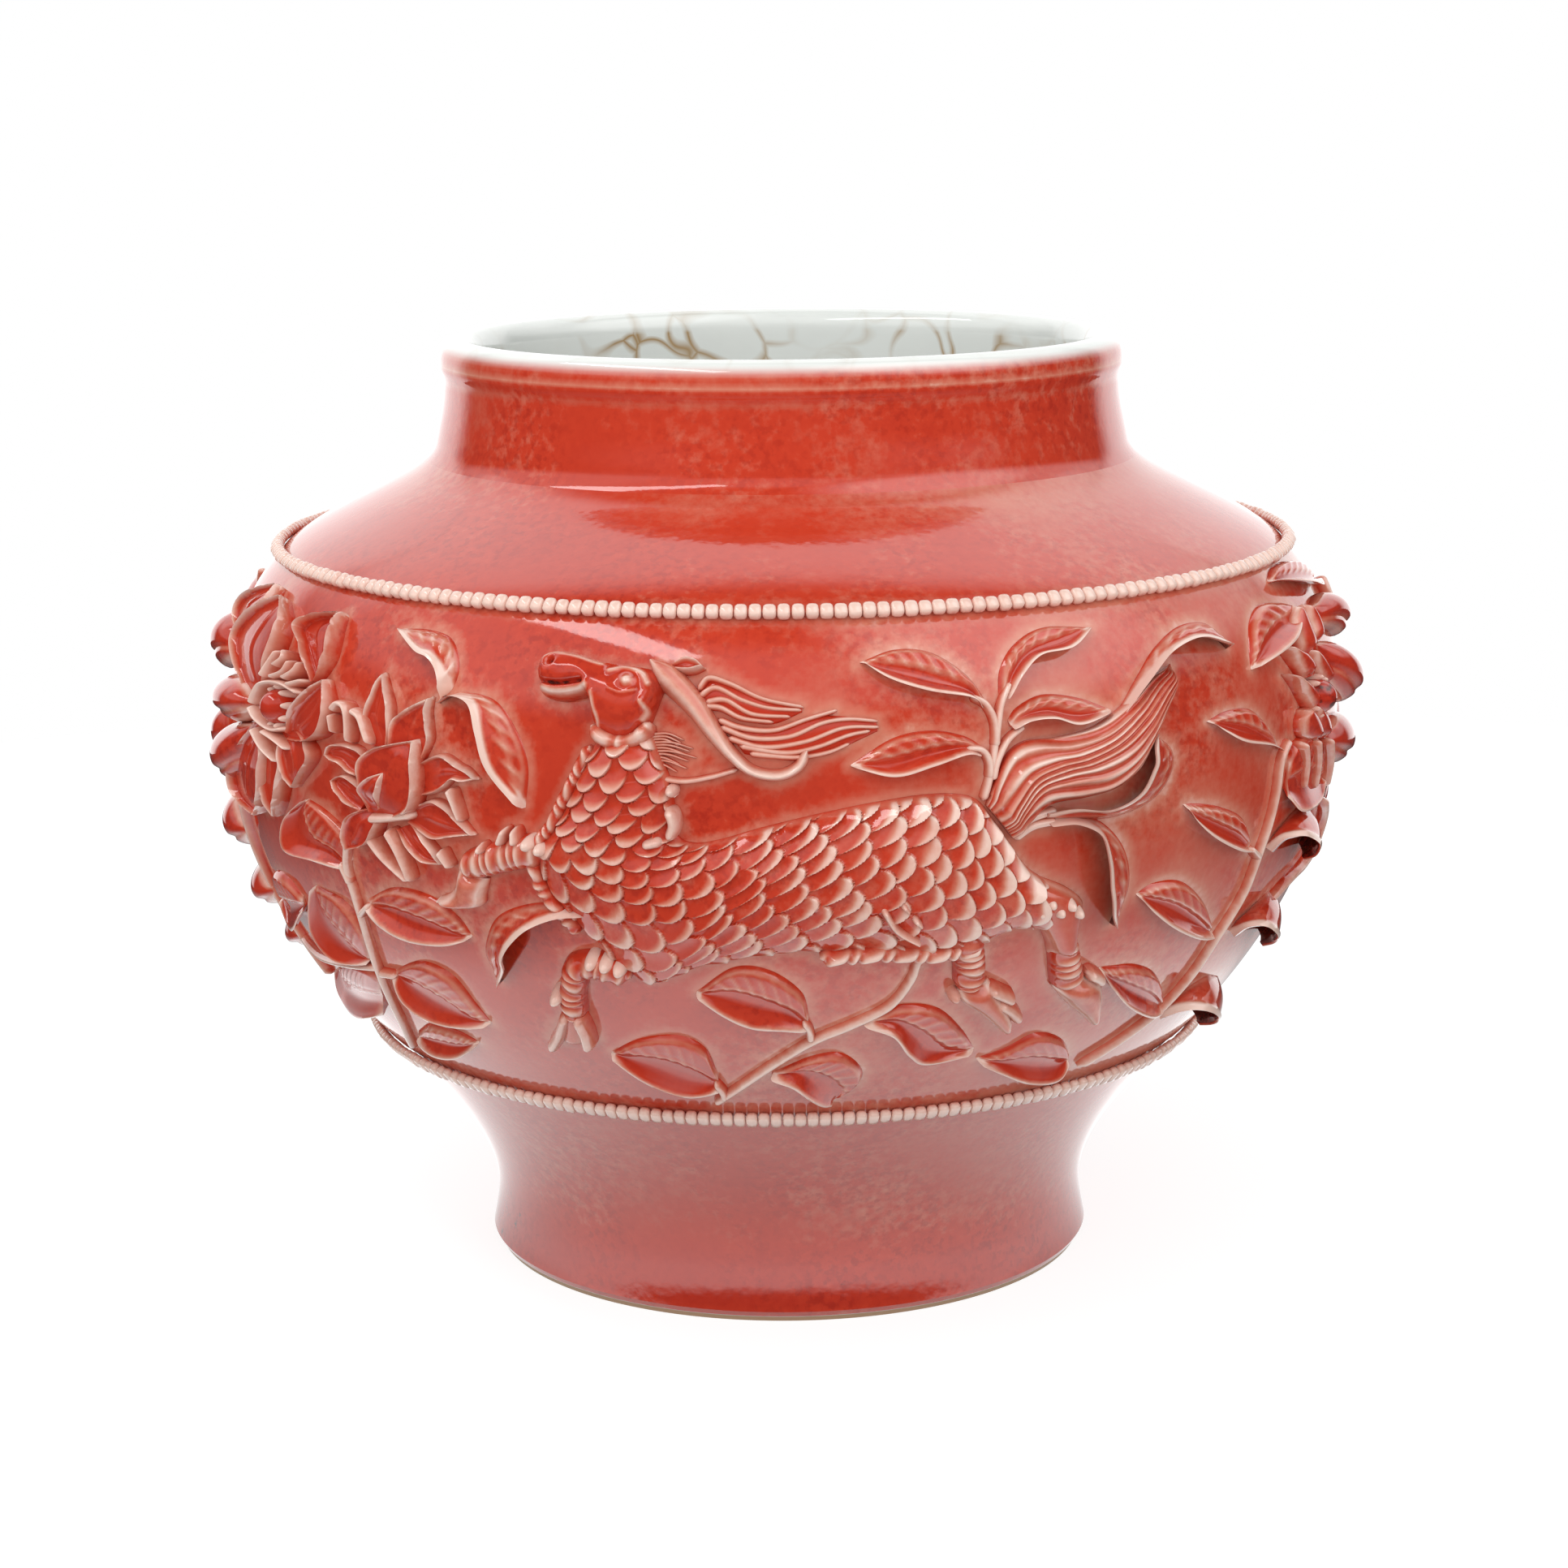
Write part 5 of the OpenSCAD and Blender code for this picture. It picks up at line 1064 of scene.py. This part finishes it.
def turned(node, outline, coat, thin, stain, around=360, frieze=0):
    """Section of the jar turned from a closed outline of (radius, height).
    On the first frieze rows the glaze is thin beside the relief."""
    outline = np.asarray(outline, float)
    on_axis = outline[:, 0] < 1e-6
    a = np.radians(np.arange(around) * 360 / around)
    points, index = [], []
    for (r, z), axis in zip(outline, on_axis):
        start = sum(len(p) for p in points)
        if axis:
            points.append(np.array([[0, 0, z]]))
            index.append(np.full(around, start))
        else:
            points.append(np.stack([r * np.sin(a), -r * np.cos(a), np.full(around, z)], -1))
            index.append(start + np.arange(around))
    loops, sizes = [], []
    n = len(outline)
    for i in range(n):
        p, q = index[i], index[(i + 1) % n]
        if on_axis[i] and on_axis[(i + 1) % n]:
            continue
        p1, q1 = np.roll(p, -1), np.roll(q, -1)
        if on_axis[i]:
            face = np.stack([p, q1, q], -1)
        elif on_axis[(i + 1) % n]:
            face = np.stack([p, p1, q], -1)
        else:
            face = np.stack([p, p1, q1, q], -1)
        loops.append(face.ravel())
        sizes.append(np.full(around, face.shape[1]))
    each = [1 if axis else around for axis in on_axis]
    values = {k: np.repeat(v, each) for k, v in (("coat", coat), ("thin", thin), ("stain", stain))}
    if frieze:
        gap = np.array([luting.find(c)[2] for c in np.vstack(points[:frieze])])
        flow = np.cos(2 * (np.tile(a, frieze) - math.radians(50)))
        values["thin"][: len(gap)] += 0.24 * bell(gap - 0.2, 1.6) + 0.09 * bell(gap, 6) + 0.06 * flow
    piece(node, "red_glaze", np.vstack(points), np.concatenate(loops), np.concatenate(sizes), values, 40)


def inner_r(z):
    r = outer_r(z) - WALL * np.sqrt(1 + slope(z) ** 2)
    return np.where(z >= NECK_Z, MOUTH_R, np.where(z > BELLY_Z, np.maximum(MOUTH_R, r), r))


def levels(z0, z1, step=1.5):
    return np.linspace(z0, z1, int(round((z1 - z0) / step)) + 1)


def ring_section(node, z0, z1):
    up = levels(z0, z1)
    down = up[::-1]
    outline = np.vstack([np.stack([outer_r(up), up], -1), np.stack([inner_r(down), down], -1)])
    n = len(up)
    coat = np.repeat([RED_COAT, WHITE_COAT], n)
    thin = np.full(2 * n, WALL_THIN)
    thin[:n] += 0.22 * bell(up - UPPER_BAND_Z, 2.6) + 0.2 * bell(up - LOWER_BAND_Z, 3)
    thin[:n] += 0.12 * smooth(up, 206, 216) + 0.06 * (1 - smooth(up, 70, 104))
    turned(node, outline, coat, thin, np.zeros(2 * n), 600, n)


def foot_section():
    up = np.concatenate([[0.0, BARE_H, BARE_H + 0.2], levels(TOE_H, LOWER_BAND_Z)])
    corner_z = FLOOR_Z + FLOOR_ROUND
    down = levels(corner_z, LOWER_BAND_Z)[::-1]
    corner_r = float(inner_r(corner_z)) - FLOOR_ROUND
    bend = np.radians(np.arange(84, -1, -6))
    ring_r = FOOT_R - TOE_IN - RING_W
    bottom = [
        (corner_r * 0.6, FLOOR_Z), (0, FLOOR_Z), (0, RECESS_H), (ring_r - 1.5, RECESS_H),
        (ring_r, RECESS_H - 1.5), (ring_r, 0),
    ]
    outline = np.vstack([
        np.stack([outer_r(up), up], -1),
        np.stack([inner_r(down), down], -1),
        np.stack([corner_r + FLOOR_ROUND * np.sin(bend), corner_z - FLOOR_ROUND * np.cos(bend)], -1),
        bottom,
    ])
    n = len(up)
    coat = np.full(len(outline), WHITE_COAT)
    coat[:n] = RED_COAT
    coat[:2] = coat[-2:] = BARE_COAT
    thin = np.full(len(outline), WALL_THIN)
    thin[2:n] = 0.15 + 0.17 * smooth(up[2:], 10, 26) + 0.25 * bell(up[2:] - 2.0, 1.0)
    turned("foot_section", outline, coat, thin, np.zeros(len(outline)))


def neck():
    lip_z = JAR_H - LIP_H
    up = levels(NECK_Z, lip_z, 0.8)
    down = levels(NECK_Z, lip_z, 1.3)[::-1]
    bend = np.radians(np.arange(9, 180, 9))
    roll = np.stack([MOUTH_R + LIP_W / 2 * (1 + np.cos(bend)), lip_z + LIP_H * np.sin(bend)], -1)
    ridge = 0.3 * bell(up - RIDGE_Z, 1.2) - 0.15 * bell(up - GROOVE_Z, 1.0)
    outline = np.vstack([
        np.stack([outer_r(up) + ridge, up], -1),
        roll,
        np.stack([np.full(len(down), MOUTH_R), down], -1),
    ])
    n, m = len(up), len(bend)
    over_lip = smooth(np.arange(m), 1, 5)
    coat = np.concatenate([np.full(n, RED_COAT), over_lip, np.full(len(down), WHITE_COAT)])
    line = 0.35 * bell(up - PALE_LINES_Z[0], 0.7) + 0.12 * bell(up - PALE_LINES_Z[1], 1)
    thin = np.concatenate([0.29 + line, np.linspace(0.35, 0.7, m), np.zeros(len(down))])
    stain = np.concatenate([np.zeros(n), np.linspace(0, 0.4, m), smooth(down, NECK_Z - 5, lip_z)])
    turned("neck", outline, coat, thin, stain)


def bead_string(node, v, pitch, r, length):
    """Beads pressed on side by side, each a little different."""
    clay = Clay()
    ring = -proud(np.array(0.0), np.array(float(v)), np.array(BEAD_GAP + r))[1]
    count = 2 * int(math.pi * ring / pitch)
    dx, dy = wall_mm(0, v)
    lat = np.linspace(-np.pi / 2 + 0.2, np.pi / 2 - 0.2, 7)[:, None]
    lon = np.linspace(0, 2 * np.pi, 12, endpoint=False)[None, :]
    power = 0.58

    def soft(x):
        return np.sign(x) * np.abs(x) ** power

    for i in range(count):
        wide, tall, fat = rng.uniform(0.96, 1.04), rng.uniform(0.86, 1.04), rng.uniform(0.8, 1.0)
        x = r * wide * soft(np.cos(lat)) * soft(np.sin(lon))
        h = BEAD_GAP + r + r * fat * soft(np.cos(lat)) * soft(np.cos(lon))
        y = length / 2 * tall * soft(np.sin(lat)) + 0 * lon
        az = i * 360 / count + x / dx
        pts = proud(az, v + y / dy, h)
        out = (h - BEAD_GAP) / (2 * r)
        clay.shell(pts, 0.7 + 0.3 * smooth(out, 0.2, 0.6))
    clay_piece(node, "bead_glaze", clay)


# The sprigs first, and the points where they are seated: the wall's glaze is thin beside those
seats = []
for sprig in SPRIGS:
    clay = Clay()
    sprig(clay)
    clay_piece("front_" + sprig.__name__, "relief_glaze", clay)
    clay_piece("back_" + sprig.__name__, "relief_glaze", clay, -1)
    points = np.vstack(clay.points)
    low = np.hypot(points[:, 0], points[:, 1]) - outer_r(points[:, 2]) < 0
    seats += [points[low], points[low] * (-1, -1, 1)]
seats = np.vstack(seats)
luting = KDTree(len(seats))
for i, c in enumerate(seats):
    luting.insert(c, i)
luting.balance()
foot_section()
ring_section("lower_belly", LOWER_BAND_Z, BELLY_Z)
ring_section("upper_belly", BELLY_Z, NECK_Z)
neck()
bead_string("upper_bead_string", 100, UPPER_PITCH, UPPER_BEAD_R, UPPER_BEAD_L)
bead_string("lower_bead_string", 0, LOWER_PITCH, LOWER_BEAD_R, LOWER_BEAD_L)


# Floor, studio light and camera

FLOOR_GREY, FLOOR_R, FLOOR_SIDES = (0.36, 0.36, 0.36, 1), 0.8, 96
# What the floor adds for the camera, and its brightness in the glaze by distance from the jar's axis
FLOOR_LIFT, FLOOR_MIRROR = 0.82, 1.8
FLOOR_SHEEN = [(0.09, 0.6), (0.13, 0.95), (0.19, 0.95), (0.25, 0.4), (0.36, 0.15), (0.5, 0.03)]
# Brightness of the parts of the studio that the glaze reflects, and of the light on matt surfaces
BACKDROP, FRONT_ROOM, GLOW, DIM_ROOM, EVEN_LIGHT = 1.45, 0.55, 2.0, 0.06, 1.22
GLOW_TOWARD = (0.62, -0.25, 0.74)


def add_light(name, place, aim, size, power):
    data = bpy.data.lights.new(name, "AREA")
    data.shape = "RECTANGLE"
    data.size, data.size_y = size
    data.energy = power
    lamp = bpy.data.objects.new(name, data)
    lamp.location = place
    lamp.rotation_euler = (Vector(aim) - Vector(place)).to_track_quat("-Z", "Y").to_euler()
    bpy.context.scene.collection.objects.link(lamp)


def add_floor():
    """Pale floor that takes the jar's shadow and is mirrored in the glaze as a soft ring."""
    a = np.linspace(0, 2 * np.pi, FLOOR_SIDES, endpoint=False)
    mesh = bpy.data.meshes.new("floor")
    corners = [(FLOOR_R * math.cos(t), FLOOR_R * math.sin(t), 0) for t in a]
    mesh.from_pydata(corners, [], [list(range(FLOOR_SIDES))])
    floor = bpy.data.objects.new("floor", mesh)
    bpy.context.scene.collection.objects.link(floor)
    mat = bpy.data.materials.new("floor")
    nodes = Nodes(mat)
    path = nodes.add("ShaderNodeLightPath").outputs
    shader = nodes.add("ShaderNodeBsdfPrincipled", {
        "Base Color": FLOOR_GREY, "Roughness": 0.9, "Specular IOR Level": 0.1, "Emission Color": WHITE,
        "Emission Strength": nodes.times(path["Is Camera Ray"], FLOOR_LIFT),
    }).outputs[0]
    place = nodes.add("ShaderNodeTexCoord").outputs["Object"]
    reach = nodes.add("ShaderNodeVectorMath", {0: place}, operation="LENGTH").outputs["Value"]
    sockets = {"Color": nodes.ramp(reach, FLOOR_SHEEN), "Strength": FLOOR_MIRROR}
    mirror = nodes.add("ShaderNodeEmission", sockets).outputs[0]
    either = nodes.add("ShaderNodeMixShader", {0: path["Is Glossy Ray"], 1: shader, 2: mirror})
    nodes.add("ShaderNodeOutputMaterial", {"Surface": either.outputs[0]})
    mesh.materials.append(mat)


def studio_world():
    """White for the camera, even light on matt surfaces, and a studio to reflect: a bright backdrop
    behind the jar and at its flanks, a dimmer room in front above the camera, a glow at the upper right,
    darkness at camera level and overhead."""
    world = bpy.data.worlds.new("studio")
    nodes = Nodes(world)
    maths, times = nodes.maths, nodes.times
    place = nodes.add("ShaderNodeTexCoord").outputs["Generated"]
    x, y, z = nodes.add("ShaderNodeSeparateXYZ", {0: place}).outputs
    aside = maths("ABSOLUTE", x)

    def band(socket, lo, hi, out_lo=0.0, out_hi=1.0):
        sockets = {"Value": socket, "From Min": lo, "From Max": hi, "To Min": out_lo, "To Max": out_hi}
        return nodes.add("ShaderNodeMapRange", sockets, interpolation_type="SMOOTHSTEP").outputs[0]

    def choose(fac, a, b):
        return nodes.add("ShaderNodeMix", {0: fac, 2: a, 3: b}).outputs[0]

    behind = maths("MAXIMUM", band(y, 0.58, 0.78), times(band(y, 0.2, 0.5), band(z, 0.3, 0.6)))
    behind = times(behind, band(z, 0.9, 0.98, 1, 0), BACKDROP)
    front = times(band(z, 0.3, 0.55), band(z, 0.8, 0.93, 1, 0), band(y, -0.1, 0, 1, 0), FRONT_ROOM)
    flank = times(band(z, 0.2, 0.45), band(z, 0.88, 0.97, 1, 0), band(aside, 0.35, 0.7))
    flank = times(flank, band(x, -0.3, 0.3, 0.75, 1))
    toward = nodes.add("ShaderNodeVectorMath", {0: place, 1: GLOW_TOWARD}, operation="DOT_PRODUCT")
    glow = times(band(toward.outputs["Value"], 0.78, 0.97), GLOW)
    studio = maths("MAXIMUM", maths("MAXIMUM", maths("ADD", behind, front), flank), glow)
    studio = maths("ADD", studio, DIM_ROOM)
    even = times(band(y, -0.7, 0.5, 1.26, 0.45), band(aside, 0.35, 0.95, 1, 0.62), EVEN_LIGHT)
    even = times(even, band(z, 0.3, 0.9, 1.03, 0.72))
    path = nodes.add("ShaderNodeLightPath").outputs
    room = choose(path["Is Glossy Ray"], even, studio)
    seen = choose(path["Is Camera Ray"], room, 1.0)
    shade = nodes.add("ShaderNodeBackground", {"Color": WHITE, "Strength": seen})
    nodes.add("ShaderNodeOutputWorld", {"Surface": shade.outputs[0]})
    bpy.context.scene.world = world


add_floor()
studio_world()
add_light("softbox_left", (-0.72, -0.34, 1.38), (0, 0, 0.14), (1.4, 0.16), 3.3)

# Camera of the photograph: its elevation and distance, focal length and frame in pixels,
# the height it aims at, its roll and the column of the middle of the view
ELEVATION, DISTANCE, FOCAL, FRAME = math.radians(12.02), 0.9421, 4200, 1932
AIM_Z, ROLL, CENTRE_X = 0.1257, math.radians(-0.54), 967.6
SENSOR = 36
data = bpy.data.cameras.new("camera")
data.sensor_width = SENSOR
data.lens = SENSOR * FOCAL / FRAME
data.shift_x = -(CENTRE_X - FRAME / 2) / FRAME
camera = bpy.data.objects.new("camera", data)
camera.matrix_world = (
    Matrix.Translation((0, -DISTANCE * math.cos(ELEVATION), AIM_Z + DISTANCE * math.sin(ELEVATION)))
    @ Matrix.Rotation(math.pi / 2 - ELEVATION, 4, "X")
    @ Matrix.Rotation(ROLL, 4, "Z")
)
bpy.context.scene.collection.objects.link(camera)
bpy.context.scene.camera = camera
bpy.context.scene.view_settings.view_transform = "Standard"

bpy.context.view_layer.update()
